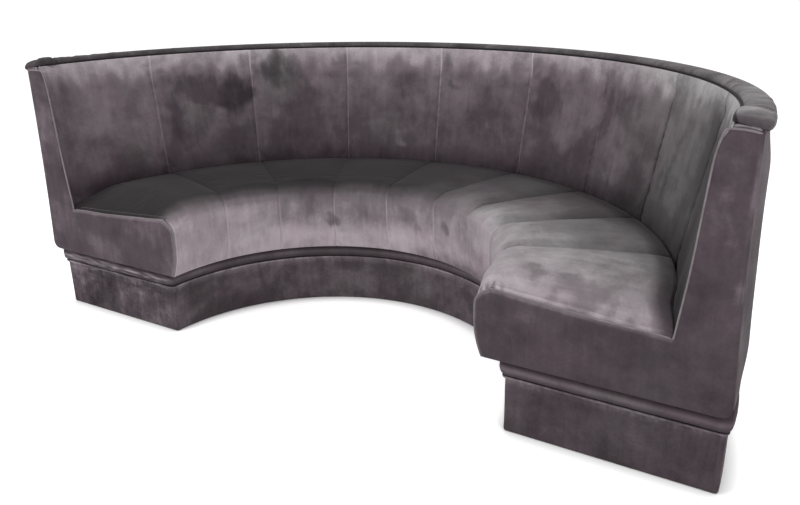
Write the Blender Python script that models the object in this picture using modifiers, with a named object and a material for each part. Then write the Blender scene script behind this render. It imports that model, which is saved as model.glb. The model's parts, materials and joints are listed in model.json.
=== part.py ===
"""Half-round upholstered banquette: covered plinth, padded bead, and a curved seat and back in channels.

Metres, +Z up. The open side faces -Y, and the origin is on the floor at the middle of the object's box.
All shapes are drawn round the arc's centre, where an empty carries every piece. A section is a list of
(radius, height) points, and a station is one place along the arc where a section stands.
"""

import math

import bmesh
import bpy
from mathutils import Matrix, Vector

# Fits
GAP = 0.0003  # clearance between pieces that touch
RIB_CLEARANCE = 0.0010  # a flat rib end inside a faceted ring needs a little more
SCREW_CLEARANCE = 0.0004
MITRE_LIMIT = 0.4  # least cosine used for a mitred corner

# Plan
SEAT_FRONT_RADIUS = 0.588  # bottom edge of the seat's front
SEAT_DEPTH = 0.473  # from there to the crease
SEAM_ANGLES = (20.5, 40.0, 58.5, 77.0, 97.5, 118.0, 138.5, 159.0)  # hand-set, so not quite even
STRIPS_PER_CHANNEL = 4
ARC_SWEEP = 180.0

# Plinth
GLIDE_HEIGHT = 0.006
GLIDE_DIAMETER = 0.018
GLIDE_FOOT_DIAMETER = 0.013
GLIDE_SIDES = 10
GLIDE_FIRST_ANGLE = 3.6
GLIDE_STEP_ANGLE = 41.9
GLIDES_PER_ROW = 5
PLINTH_HEIGHT = 0.1665
PLINTH_FRONT_SETBACK = 0.057  # behind the seat's front bottom edge
PLINTH_BACK_SETBACK = 0.010  # inside the foot of the outside back
PLINTH_END_SETBACK = 0.043  # behind the flat ends
PLINTH_COVER = 0.003
PLINTH_CORNER = 0.010
FORMER_THICKNESS = 0.018
PLINTH_TOP_THICKNESS = 0.012
PLINTH_RIB_STATIONS = (6, 12, 18, 24, 30)
DUST_COVER = 0.0015
DUST_COVER_MARGIN = 0.002  # clear of the formers and glides

# Bead
BEAD_HEIGHT = 0.0657
BEAD_PROJECTION = 0.018  # beyond the plinth at the front and ends
BEAD_BACK_PROJECTION = 0.009
BEAD_SWELL = 0.012  # depth of its rounded face
BEAD_FULLNESS = 0.75  # 1 is a half ellipse, less is fuller
BEAD_WALL = 0.006
SPACER_WIDTH = 0.070

# Carcass
BOARD = 0.018  # gable ribs, end boards and base ring
CARCASS_HEIGHT = 0.152  # underside of the base ring to the top of the seat deck
FRONT_RAIL = 0.012
DECK_THICKNESS = 0.012
INNER_PANEL = 0.004
OUTER_PANEL = 0.003
RIB_TOP_WIDTH = 0.027
TOP_RAIL_THICKNESS = 0.018
RIB_STATIONS = (6, 10, 14, 18, 22, 26, 30)

# Seat padding
COVER = 0.006  # velvet and its wadding
SEAT_FOAM = 0.099
FRONT_FOAM = 0.010  # least foam in front of the rail
FRONT_BELLY = 0.030  # how far the seat's front swells out over its bottom edge
NOSE_RADIUS = 0.055
END_NOSE_RADIUS = 0.034
SEAT_FALL = 0.020  # from the crown down to the crease
SEAT_SWELL = 0.007  # fullness of the top, half-way to the crease
END_DROP_FRONT = 0.044  # how far the crown is drawn down at the flat ends
END_DROP_BACK = 0.061
DRAW_IN = 0.090  # length over which it is drawn down
FLUTE_DEPTH = 0.008
FLUTE_POWER = 3.0  # higher is a fuller channel with a tighter seam
TAIL_CLEARANCE = 0.004  # cover tails end this far above the deck

# Back padding
BACK_RISE = 0.453  # from the seat's crown to the top
BACK_RAKE = 0.083  # lean of the inside back, from the crease to the piping
END_SINK = 0.028  # how far the foot of the inside back is drawn in at the ends
END_CURVE = 3.0  # power of the inside back's curve at the ends
BACK_FOAM_TOP = 0.018
BACK_FOAM_END = 0.010  # least foam at the foot
FLUTE_FADE = 0.080  # the back's channels flatten over this length below the piping
OUTER_COVER = 0.005
OUTER_FLARE = 0.025  # the outside back stands further out at its foot
FOOT_ROUND = 0.028

# Cap, piping and ends
CAP_THICKNESS = 0.029
CAP_SKIRT = 0.010  # how far the cap laps down over the outside back
CAP_OVERHANG = 0.010
CAP_CROWN = 0.0015
CAP_INNER_ROUND = 0.012
CAP_OUTER_ROUND = 0.016
CAP_END_ROUND = 0.010
CAP_END_TUCK = 0.005
PIPING_RADIUS = 0.0033
PIPING_DROP = 0.016  # piping centre below the top
WELT_RADIUS = 0.003
END_PAD = 0.0074
END_PAD_ROUND = 0.003

# Coach screws
SCREW_RADIUS = 0.004
SCREW_HEAD_RADIUS = 0.0075
SCREW_HEAD_HEIGHT = 0.0055
SCREW_SEAMS = (0, 1, 3, 4, 6, 7)  # in line with these seams
SCREW_SIDES = 8
SCREW_TIP_COVER = 0.002  # timber left below the tip

# Where a section has a point, as shares of its height
BELLY_LEVEL = 0.45
BELLY_SHARE = 0.75
BACK_LEVELS = (0.0, 0.2, 0.45, 0.7, 0.88)
OUTER_LEVELS = (0.0, 0.22, 0.5, 1.0)

# Heights
Z_PLINTH = GLIDE_HEIGHT
Z_PLINTH_TOP = Z_PLINTH + PLINTH_HEIGHT
Z_BEAD = Z_PLINTH_TOP + GAP
Z_BEAD_TOP = Z_BEAD + BEAD_HEIGHT
Z_SEAT = Z_BEAD_TOP + GAP
Z_BASE_TOP = Z_SEAT + BOARD
Z_DECK_TOP = Z_SEAT + CARCASS_HEIGHT
Z_DECK = Z_DECK_TOP - DECK_THICKNESS
Z_TAIL = Z_DECK_TOP + TAIL_CLEARANCE
Z_CROWN = Z_DECK_TOP + SEAT_FOAM + COVER + 2 * GAP
Z_CREASE = Z_CROWN - SEAT_FALL
Z_TOP = Z_CROWN + BACK_RISE
Z_CAP = Z_TOP - CAP_THICKNESS
Z_RAIL_TOP = Z_CAP - GAP
Z_RAIL = Z_RAIL_TOP - TOP_RAIL_THICKNESS
Z_PIPING = Z_TOP - PIPING_DROP
Z_COVER_TOP = Z_PIPING - PIPING_RADIUS - GAP

# Radii
R_FRONT = SEAT_FRONT_RADIUS
R_RAIL = R_FRONT + COVER + FLUTE_DEPTH + FRONT_FOAM
R_RAIL_BACK = R_RAIL + FRONT_RAIL
R_CREASE = R_FRONT + SEAT_DEPTH
R_END_CREASE = R_CREASE + END_SINK
R_PIPING = R_CREASE + BACK_RAKE
R_PANEL_FOOT = R_END_CREASE + FLUTE_DEPTH + COVER + BACK_FOAM_END + 2 * GAP
R_PANEL_TOP = R_PIPING + COVER + BACK_FOAM_TOP + 2 * GAP
R_RIB_TOP = R_PANEL_TOP + INNER_PANEL + GAP
R_OUTER_TOP = R_RIB_TOP + RIB_TOP_WIDTH + RIB_CLEARANCE + OUTER_PANEL + OUTER_COVER + GAP
R_OUTER = R_OUTER_TOP + OUTER_FLARE
R_BASE = R_OUTER - FOOT_ROUND - OUTER_COVER
R_PLINTH = R_FRONT + PLINTH_FRONT_SETBACK
R_PLINTH_BACK = R_OUTER - PLINTH_BACK_SETBACK
R_SCREWS = (R_PLINTH + SPACER_WIDTH / 2, R_PLINTH_BACK - SPACER_WIDTH / 2)

# Reach in front of the arc's centre line; the plinth falls short of it
END_REACH = BOARD + 2 * GAP
END_PLANE = END_REACH + END_PAD
PLINTH_END = PLINTH_END_SETBACK - END_PLANE
PLINTH_FRAME_END = PLINTH_END + PLINTH_COVER + FORMER_THICKNESS + 2 * GAP


def mix(a, b, t):
    return a + (b - a) * t


def smooth(t):
    t = min(max(t, 0.0), 1.0)
    return t * t * (3 - 2 * t)


def seam_edges():
    return [0.0, *SEAM_ANGLES, ARC_SWEEP]


def arc_angles():
    """Station angles: each channel's strips, then the far end."""
    edges = seam_edges()
    angles = []
    for first, last in zip(edges, edges[1:]):
        angles += [mix(first, last, k / STRIPS_PER_CHANNEL) for k in range(STRIPS_PER_CHANNEL)]
    return angles + [ARC_SWEEP]


def outer_radius(height):
    """The outside back: upright at the top, flaring towards its foot."""
    t = (Z_RAIL_TOP - height) / (Z_RAIL_TOP - Z_SEAT)
    return R_OUTER_TOP + OUTER_FLARE * t * t


STRIP_ANGLES = arc_angles()
# The first and last strips are halved, where the padding is drawn in
ARC_ANGLES = [
    STRIP_ANGLES[0],
    mix(STRIP_ANGLES[0], STRIP_ANGLES[1], 0.5),
    *STRIP_ANGLES[1:-1],
    mix(STRIP_ANGLES[-2], STRIP_ANGLES[-1], 0.5),
    STRIP_ANGLES[-1],
]
Z_FOOT = Z_SEAT + FOOT_ROUND
R_FOOT = outer_radius(Z_FOOT)
R_LARGEST = max(R_PLINTH_BACK + BEAD_BACK_PROJECTION, R_OUTER_TOP + GAP + CAP_OVERHANG, R_FOOT)
DEPTH = END_PLANE + R_LARGEST * max(math.sin(math.radians(angle)) for angle in ARC_ANGLES)
ARC_Y = END_PLANE - DEPTH / 2


def stations(reach=None):
    """(angle, reach) pairs. With a reach, the sweep runs on straight, or stops short, to a flat end."""
    if reach is None:
        return [(angle, None) for angle in ARC_ANGLES]
    inside = [a for a in ARC_ANGLES if R_FRONT * math.sin(math.radians(a)) > -reach - GAP]
    return [(0.0, reach), *[(angle, None) for angle in inside], (ARC_SWEEP, reach)]


def place(radius, height, station):
    angle, reach = station
    turn = math.radians(angle)
    if reach is None:
        return Vector((radius * math.cos(turn), radius * math.sin(turn), height))
    side = math.copysign(1.0, math.cos(turn))
    across = radius if reach >= 0 else math.sqrt(radius**2 - reach**2)
    return Vector((side * across, -reach, height))


def offset_line(points, distance):
    """The open line moved to its right by distance, with mitred corners."""
    moved = []
    for i, point in enumerate(points):
        here = Vector(point)
        normals = []
        for a, b in ((i - 1, i), (i, i + 1)):
            if a >= 0 and b < len(points):
                way = (Vector(points[b]) - Vector(points[a])).normalized()
                normals.append(Vector((way.y, -way.x)))
        normal = sum(normals, Vector((0.0, 0.0))).normalized()
        here += normal * (distance / max(normal.dot(normals[0]), MITRE_LIMIT))
        moved.append((here.x, here.y))
    return moved


def shell(points, thickness):
    """Closed section between a line and the same line moved to its right."""
    return [*points, *reversed(offset_line(points, thickness))]


def arc_points(centre, radius, first, last, count):
    turns = [math.radians(mix(first, last, k / (count - 1))) for k in range(count)]
    return [(centre[0] + radius * math.cos(t), centre[1] + radius * math.sin(t)) for t in turns]


# Collections, materials and objects


def clear_scene():
    for obj in list(bpy.data.objects):
        bpy.data.objects.remove(obj)


def new_collection(name):
    collection = bpy.data.collections.new(name)
    bpy.context.scene.collection.children.link(collection)
    return collection


def material(name, colour, roughness, metallic=0.0):
    made = bpy.data.materials.new(name)
    made.use_nodes = True
    shader = made.node_tree.nodes["Principled BSDF"]
    shader.inputs["Base Color"].default_value = (*colour, 1.0)
    shader.inputs["Roughness"].default_value = roughness
    shader.inputs["Metallic"].default_value = metallic
    return made


clear_scene()
PARTS = new_collection("curved_banquette")
CUTTERS = new_collection("cutters")
ARC_CENTRE = bpy.data.objects.new("arc_centre", None)
ARC_CENTRE.location = (0.0, ARC_Y, 0.0)
PARTS.objects.link(ARC_CENTRE)

VELVET = material("velvet", (0.135, 0.103, 0.118), 0.85)
PIPING = material("piping_velvet", (0.045, 0.036, 0.041), 0.85)
FOAM = material("foam", (0.72, 0.64, 0.42), 0.95)
PLYWOOD = material("plywood", (0.55, 0.38, 0.22), 0.70)
HARDBOARD = material("hardboard", (0.22, 0.13, 0.07), 0.60)
LINING = material("lining", (0.02, 0.02, 0.02), 0.95)
PLASTIC = material("glide_plastic", (0.06, 0.06, 0.06), 0.45)
STEEL = material("zinc_steel", (0.62, 0.62, 0.60), 0.35, 1.0)


def add_object(name, data, surface, collection=PARTS):
    obj = bpy.data.objects.new(name, data)
    data.materials.append(surface)
    obj.parent = ARC_CENTRE
    collection.objects.link(obj)
    return obj


def finish_mesh(bm, name, surface, sharp_angle=40.0):
    bmesh.ops.recalc_face_normals(bm, faces=bm.faces)
    mesh = bpy.data.meshes.new(name)
    bm.to_mesh(mesh)
    bm.free()
    mesh.shade_smooth()
    mesh.set_sharp_from_angle(angle=math.radians(sharp_angle))
    return add_object(name, mesh, surface)


def split_quad(corners):
    """Two triangles, parted on the diagonal that is higher and further in, so that layers bend alike."""
    a, b, c, d = corners
    first = (a.co + c.co) / 2
    second = (b.co + d.co) / 2
    rise = first.z - second.z
    inward = second.xy.length - first.xy.length
    if 2 * rise + inward > 0:
        return (a, b, c), (a, c, d)
    return (a, b, d), (b, c, d)


def loft(name, rings, surface, closed=False):
    """Skin over rings of equally many points, capped at both ends unless the rings run round to the first."""
    bm = bmesh.new()
    rows = [[bm.verts.new(point) for point in ring] for ring in rings]
    pairs = list(zip(rows, rows[1:]))
    if closed:
        pairs.append((rows[-1], rows[0]))
    else:
        bm.faces.new(rows[0])
        bm.faces.new(rows[-1])
    for near, far in pairs:
        for i in range(len(near)):
            j = (i + 1) % len(near)
            for triangle in split_quad((near[i], near[j], far[j], far[i])):
                bm.faces.new(triangle)
    return finish_mesh(bm, name, surface)


def sweep(name, section, surface, reach=None):
    """Loft round the arc. The section is a list of points, or a function of the station that gives one."""
    rings = []
    for station in stations(reach):
        points = section(station) if callable(section) else section
        rings.append([place(radius, height, station) for radius, height in points])
    return loft(name, rings, surface)


def box_section(inner, outer, low, high):
    return [(inner, low), (inner, high), (outer, high), (outer, low)]


def poly_curve(name, points, closed=False):
    curve = bpy.data.curves.new(name, "CURVE")
    spline = curve.splines.new("POLY")
    spline.points.add(len(points) - 1)
    spline.use_cyclic_u = closed
    for point, co in zip(spline.points, points):
        point.co = (*co, 1.0)
    return curve


def board(name, outline, thickness, surface, angle=0.0, y=0.0, edge=0.0):
    """Flat board, drawn in radius and height, stood upright at an angle of the arc. edge rounds it off."""
    curve = poly_curve(name, [(r, z, 0.0) for r, z in outline], closed=True)
    curve.dimensions = "2D"
    curve.fill_mode = "BOTH"
    curve.extrude = thickness / 2 - edge
    curve.bevel_depth = edge
    curve.bevel_resolution = 1
    curve.offset = -edge
    obj = add_object(name, curve, surface)
    obj.rotation_euler = (math.radians(90), 0.0, math.radians(angle))
    obj.location.y = y
    return obj


def end_pair(name, outline, thickness, surface, y, edge=0.0):
    """The same board at both flat ends."""
    for side, angle in (("right", 0.0), ("left", ARC_SWEEP)):
        board(f"{name}_{side}", outline, thickness, surface, angle, y, edge)


def tube(name, points, radius, surface, resolution):
    """Round cord along a line of points."""
    curve = poly_curve(name, points)
    curve.dimensions = "3D"
    curve.bevel_depth = radius
    curve.bevel_resolution = resolution
    curve.use_fill_caps = True
    return add_object(name, curve, surface)


# Outlines that the padding follows


def flute(angle):
    """0 on a seam, 1 on the crest of a channel."""
    edges = seam_edges()
    for first, last in zip(edges, edges[1:]):
        if first <= angle <= last:
            t = (angle - first) / (last - first)
            return 1 - abs(2 * t - 1) ** FLUTE_POWER
    return 0.0


def crown(station):
    """0 at the flat ends, 1 where the padding is at its full height."""
    angle, reach = station
    if reach is not None:
        return smooth((END_REACH - reach) / DRAW_IN)
    along = END_REACH + R_CREASE * math.radians(min(angle, ARC_SWEEP - angle))
    return smooth(along / DRAW_IN)


def crease(full):
    return mix(R_END_CREASE, R_CREASE, full), mix(Z_CREASE - END_DROP_BACK, Z_CREASE, full)


def seat_top_line(full):
    """The seat's front and top, from the front's bottom edge to the crease."""
    radius, height = crease(full)
    front_top = mix(Z_CROWN - END_DROP_FRONT, Z_CROWN, full)
    nose = mix(END_NOSE_RADIUS, NOSE_RADIUS, full)
    front = R_FRONT - FRONT_BELLY
    nose_centre = (front + nose, front_top - nose)
    lower = (R_FRONT - BELLY_SHARE * FRONT_BELLY, mix(Z_SEAT, nose_centre[1], BELLY_LEVEL))
    middle = (mix(nose_centre[0], radius, 0.5), mix(front_top, height, 0.5) + SEAT_SWELL * full)
    return [
        (R_FRONT, Z_SEAT),
        lower,
        *arc_points(nose_centre, nose, 180, 90, 4),
        middle,
        (radius - GAP, height),
    ]


def seat_line(station):
    full = crown(station)
    line = seat_top_line(full)
    line.append((line[-1][0], Z_TAIL))
    return offset_line(line, FLUTE_DEPTH * (1 - seam_relief(station)))


def seam_relief(station):
    return flute(station[0]) if station[1] is None else 0.0


def back_radius(height, full):
    """Front of the inside back: a straight rake, which turns into a curve at the ends."""
    radius, foot = crease(full)
    t = max((height - foot) / (Z_PIPING - foot), 0.0)
    return mix(radius, R_PIPING, t ** mix(END_CURVE, 1.0, full))


def back_heights(full):
    foot = crease(full)[1]
    return [mix(foot, Z_RAIL_TOP, level) for level in BACK_LEVELS] + [Z_RAIL_TOP, Z_COVER_TOP]


def back_line(station):
    """The inside back's front, from the tail behind the seat to the piping."""
    full = crown(station)
    seam = FLUTE_DEPTH * (1 - seam_relief(station))
    line = [(crease(full)[0] + seam, Z_TAIL)]
    for height in back_heights(full):
        fade = smooth((Z_COVER_TOP - height) / FLUTE_FADE)
        line.append((back_radius(height, full) + seam * fade, height))
    return line


def panel_radius(height):
    """Front of the inside-back panel, which the foam lies on."""
    return mix(R_PANEL_FOOT, R_PANEL_TOP, (height - Z_DECK_TOP) / (Z_RAIL_TOP - Z_DECK_TOP))


def outer_heights():
    return [mix(Z_FOOT, Z_RAIL_TOP, level) for level in OUTER_LEVELS]


def outer_line():
    """The outside back from its rounded bottom corner up to the cap."""
    centre = (R_FOOT - FOOT_ROUND, Z_FOOT)
    corner = arc_points(centre, FOOT_ROUND, -90, 0, 4)
    return corner + [(outer_radius(z), z) for z in outer_heights()[1:]]


def frame_outer(height, clearance):
    """Outer face of the carcass at a height."""
    return outer_radius(height) - OUTER_COVER - OUTER_PANEL - clearance


# Plinth and bead outline in plan


def plan_arc(radius):
    return [place(radius, 0.0, station).xy for station in stations(-PLINTH_FRAME_END)]


def plan_corner(radius, out, side):
    """From the right-hand flat end round to the arc; side is 1 on the outer arc and -1 on the inner."""
    corner = PLINTH_CORNER + out
    y = PLINTH_END + PLINTH_CORNER
    x = math.sqrt((radius - side * corner) ** 2 - y**2)
    turn = math.degrees(math.atan2(y, x))
    if side > 0:
        return arc_points((x, y), corner, -90, turn, 4)
    return arc_points((x, y), corner, 270, 180 + turn, 4)


def back_outline(out):
    """Plan line round the plinth's back, from right to left, moved outwards by out."""
    radius = R_PLINTH_BACK + min(out, out * BEAD_BACK_PROJECTION / BEAD_PROJECTION)
    corner = plan_corner(radius, out, 1)
    return corner + plan_arc(radius) + [(-x, y) for x, y in reversed(corner)]


def front_outline(out):
    """Plan line round the plinth's front, from left to right, moved outwards by out."""
    radius = R_PLINTH - out
    corner = plan_corner(radius, out, -1)
    left = [(-x, y) for x, y in corner]
    return left + list(reversed(plan_arc(radius))) + list(reversed(corner))


def front_with_ends(out):
    """The front line, run on along both flat ends until it almost meets the back line."""
    x, y = back_outline(out)[0]
    return [(GAP - x, y), *front_outline(out), (x - GAP, y)]


def band(name, section, surface, outlines, closed=False):
    """A closed section of (outward, height) points, carried along lines in plan."""
    lines = [[point for outline in outlines for point in outline(out)] for out, _ in section]
    rings = []
    for points in zip(*lines):
        rings.append([(x, y, z) for (x, y), (_, z) in zip(points, section)])
    return loft(name, rings, surface, closed)


# Pieces


def build_plinth():
    front = R_PLINTH + PLINTH_COVER + GAP
    back = R_PLINTH_BACK - PLINTH_COVER - GAP
    z_rail_top = Z_PLINTH_TOP - PLINTH_TOP_THICKNESS - GAP
    board_front = PLINTH_END + PLINTH_COVER + GAP
    frame_end = PLINTH_FRAME_END
    cover = [(0.0, Z_PLINTH), (0.0, Z_PLINTH_TOP), (-PLINTH_COVER, Z_PLINTH_TOP), (-PLINTH_COVER, Z_PLINTH)]
    band("plinth_cover", cover, VELVET, [back_outline, front_outline], closed=True)
    former = box_section(front, front + FORMER_THICKNESS, Z_PLINTH, z_rail_top)
    sweep("plinth_front_former", former, PLYWOOD, -frame_end)
    former = box_section(back - FORMER_THICKNESS, back, Z_PLINTH, z_rail_top)
    sweep("plinth_rear_former", former, PLYWOOD, -frame_end)
    top = box_section(front, back, z_rail_top + GAP, Z_PLINTH_TOP)
    top_ring = sweep("plinth_top_ring", top, PLYWOOD, -frame_end)

    span = (front + PLINTH_CORNER, math.sqrt(back**2 - frame_end**2) - PLINTH_CORNER)
    outline = box_section(*span, Z_PLINTH, Z_PLINTH_TOP)
    end_pair("plinth_end_board", outline, FORMER_THICKNESS, PLYWOOD, board_front + FORMER_THICKNESS / 2)

    rib_span = (front + FORMER_THICKNESS + GAP, back - FORMER_THICKNESS - RIB_CLEARANCE)
    outline = box_section(*rib_span, Z_PLINTH, z_rail_top)
    for number, station in enumerate(PLINTH_RIB_STATIONS, 1):
        board(f"plinth_rib_{number}", outline, BOARD, PLYWOOD, STRIP_ANGLES[station])

    rows = (front + FORMER_THICKNESS / 2, back - FORMER_THICKNESS / 2)
    clear = max(FORMER_THICKNESS, GLIDE_DIAMETER) / 2 + DUST_COVER_MARGIN
    z_lining = Z_PLINTH - GAP
    lining = box_section(rows[0] + clear, rows[1] - clear, z_lining - DUST_COVER, z_lining)
    sweep("dust_cover", lining, LINING, -frame_end - DUST_COVER_MARGIN)
    build_glides(rows, frame_end)
    return top_ring


def build_glides(rows, frame_end):
    """Nail-on glides under both formers, each tapering to a flat bottom."""
    height = GLIDE_HEIGHT - GAP
    number = 0
    for radius in rows:
        for k in range(GLIDES_PER_ROW):
            number += 1
            name = f"glide_{number}"
            bm = bmesh.new()
            bmesh.ops.create_cone(
                bm,
                cap_ends=True,
                segments=GLIDE_SIDES,
                radius1=GLIDE_FOOT_DIAMETER / 2,
                radius2=GLIDE_DIAMETER / 2,
                depth=height,
            )
            glide = finish_mesh(bm, name, PLASTIC)
            turn = math.radians(GLIDE_FIRST_ANGLE + k * GLIDE_STEP_ANGLE)
            least = frame_end + GLIDE_DIAMETER / 2
            y = max(radius * math.sin(turn), least)
            x = math.copysign(math.sqrt(radius**2 - y**2), math.cos(turn))
            glide.location = (x, y, height / 2)


def build_bead():
    """Padded roll in two lengths round a frame of spacers, standing proud of the plinth."""
    edge = BEAD_PROJECTION - BEAD_SWELL
    back = edge - BEAD_WALL
    middle = (Z_BEAD + Z_BEAD_TOP) / 2
    section = [(back, Z_BEAD), (edge, Z_BEAD)]
    for x, z in arc_points((0.0, 0.0), 1.0, -75, 75, 5):
        rise = math.copysign(abs(z) ** BEAD_FULLNESS, z)
        section.append((edge + BEAD_SWELL * x, middle + rise * BEAD_HEIGHT / 2))
    section += [(edge, Z_BEAD_TOP), (back, Z_BEAD_TOP)]
    band("bead_roll_front", section, VELVET, [front_with_ends])
    band("bead_roll_back", section, VELVET, [back_outline])
    return build_spacers(back - GAP)


def build_spacers(core):
    """Curved spacers in front and behind, and a block across each end, moved out from the plinth by core."""
    front = R_PLINTH - core
    rear = R_PLINTH_BACK + core
    spacers = []
    for name, inner in (("spacer_front", front), ("spacer_rear", rear - SPACER_WIDTH)):
        section = box_section(inner, inner + SPACER_WIDTH, Z_BEAD, Z_BEAD_TOP)
        spacers.append(sweep(name, section, PLYWOOD, -PLINTH_FRAME_END))
    span = (front + PLINTH_CORNER, math.sqrt(rear**2 - PLINTH_FRAME_END**2) - PLINTH_CORNER)
    block_front = PLINTH_END - core
    thickness = PLINTH_FRAME_END - GAP - block_front
    outline = box_section(*span, Z_BEAD, Z_BEAD_TOP)
    end_pair("spacer_end_block", outline, thickness, PLYWOOD, block_front + thickness / 2)
    return spacers


def gable_outline(front, clearance, seat_top, top, panel):
    """L-shaped outline of a rib or end board: seat part in front, raked upright behind."""
    upright = panel_radius(Z_DECK_TOP) + panel
    outline = [(front, Z_SEAT), (front, seat_top), (upright, seat_top)]
    outline += [(panel_radius(top) + panel, top), (frame_outer(top, clearance), top)]
    outline += [(frame_outer(z, clearance), z) for z in reversed(outer_heights()[:-1]) if z < top]
    return outline + [(R_BASE, Z_SEAT + OUTER_COVER + 2 * GAP), (R_BASE, Z_SEAT)]


def build_carcass():
    base = box_section(R_RAIL_BACK + GAP, R_BASE, Z_SEAT, Z_BASE_TOP)
    base_ring = sweep("seat_base_ring", base, PLYWOOD)
    rail = box_section(R_RAIL, R_RAIL_BACK, Z_SEAT, Z_DECK - GAP)
    sweep("seat_front_rail", rail, PLYWOOD)
    rib_front = INNER_PANEL + GAP
    deck_back = panel_radius(Z_DECK_TOP) + INNER_PANEL
    sweep("seat_deck", box_section(R_RAIL, deck_back, Z_DECK, Z_DECK_TOP), PLYWOOD)

    z_rib = Z_BASE_TOP + GAP
    outline = gable_outline(R_RAIL_BACK + GAP, RIB_CLEARANCE, Z_DECK - GAP, Z_RAIL - GAP, rib_front)
    outline = [(r, max(z, z_rib)) for r, z in outline]
    for number, station in enumerate(RIB_STATIONS, 1):
        board(f"gable_rib_{number}", outline, BOARD, PLYWOOD, STRIP_ANGLES[station])

    rail_front = panel_radius(Z_RAIL_TOP) + rib_front
    rail_back = frame_outer(Z_RAIL_TOP, GAP)
    sweep("back_top_rail", box_section(rail_front, rail_back, Z_RAIL, Z_RAIL_TOP), PLYWOOD)

    low = Z_DECK_TOP + GAP
    panel = [(panel_radius(low), low), (panel_radius(Z_RAIL_TOP), Z_RAIL_TOP)]
    panel += [(r + INNER_PANEL, z) for r, z in reversed(panel)]
    sweep("inside_back_panel", panel, HARDBOARD)
    face = [(outer_radius(z) - OUTER_COVER - GAP, z) for z in outer_heights()]
    back_face = [(r - OUTER_PANEL, z) for r, z in reversed(face)]
    sweep("outside_back_panel", face + back_face, HARDBOARD)

    outline = gable_outline(R_RAIL, -OUTER_PANEL, Z_DECK_TOP, Z_RAIL_TOP, 0.0)
    outline = [(r - GAP if r > R_BASE else r, z) for r, z in outline]
    end_pair("end_board", outline, BOARD, PLYWOOD, -GAP - BOARD / 2)
    return base_ring


def build_seat():
    sweep("seat_cover", lambda station: shell(seat_line(station), COVER), VELVET, END_REACH)

    def foam(station):
        line = offset_line(seat_line(station), COVER + 2 * GAP)
        back = line[-1][0]
        low = Z_DECK_TOP + GAP
        return [*line[:-1], (back, low), (R_RAIL - GAP, low), (R_RAIL - GAP, Z_SEAT)]

    sweep("seat_foam", foam, FOAM, END_REACH)


def build_back():
    sweep("inside_back_cover", lambda station: shell(back_line(station), COVER), VELVET, END_REACH)

    def foam(station):
        line = offset_line(back_line(station)[:-1], COVER + 2 * GAP)
        low = Z_DECK_TOP + GAP
        front = [(line[0][0], low), *line[1:-1], (line[-1][0], Z_RAIL_TOP)]
        return front + [(panel_radius(z) - GAP, z) for z in (Z_RAIL_TOP, low)]

    sweep("back_foam", foam, FOAM, END_REACH)
    sweep("outside_back_cover", shell(outer_line(), -OUTER_COVER), VELVET, END_REACH)


def cap_section(shrink):
    """Padded strip over the top, with a lip down the outside. shrink rounds it off at the flat ends."""
    inner = R_PIPING + COVER / 2 + PIPING_RADIUS + GAP
    lip = R_OUTER_TOP + GAP
    outer = lip + CAP_OVERHANG - shrink * CAP_END_TUCK
    top = Z_TOP - shrink * CAP_END_ROUND
    edge = top - CAP_CROWN
    inner_centre = (inner + CAP_INNER_ROUND, edge - CAP_INNER_ROUND)
    outer_centre = (outer - CAP_OUTER_ROUND, edge - CAP_OUTER_ROUND)
    return [
        (inner, Z_CAP),
        *arc_points(inner_centre, CAP_INNER_ROUND, 180, 90, 3),
        (mix(inner, outer, 0.5), top),
        *arc_points(outer_centre, CAP_OUTER_ROUND, 90, 0, 3),
        (outer, Z_CAP - CAP_SKIRT),
        (lip, Z_CAP - CAP_SKIRT),
        (lip, Z_CAP),
    ]


def build_cap():
    ends = [(0.0, END_PLANE), (0.0, END_PLANE - CAP_END_ROUND)]
    run = ends + stations() + [(ARC_SWEEP, reach) for _, reach in reversed(ends)]
    rings = []
    for station in run:
        points = cap_section(1.0 if station[1] == END_PLANE else 0.0)
        rings.append([place(radius, height, station) for radius, height in points])
    loft("top_cap", rings, VELVET)
    cord = [place(R_PIPING + COVER / 2, Z_PIPING, station) for station in stations(END_PLANE)]
    tube("cap_piping", cord, PIPING_RADIUS, PIPING, 2)


def end_line():
    """Where the seat and back covers end: from the seat's front bottom edge to the top of the back."""
    station = (0.0, END_REACH)
    *seat, seat_crease, _ = seat_line(station)
    _, back_crease, *back, _ = back_line(station)
    return [(seat[0][0], Z_SEAT), *seat[1:], (back_crease[0], seat_crease[1]), *back]


def build_ends():
    """Flat padded L-shaped covers, with a welt in the groove along their inner edge."""
    outline = end_line() + list(reversed(outer_line()))
    end_pair("end_cover", outline, END_PAD, VELVET, -END_REACH - END_PAD / 2, END_PAD_ROUND)

    path = offset_line(end_line(), -WELT_RADIUS - 2 * GAP)
    path[0] = (path[0][0], Z_SEAT)
    path[-1] = (path[-1][0], Z_RAIL_TOP - WELT_RADIUS)
    for name, side in (("end_welt_right", 1), ("end_welt_left", -1)):
        points = [Vector((side * r, -END_REACH, z)) for r, z in path]
        tube(name, points, WELT_RADIUS, VELVET, 1)


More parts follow.
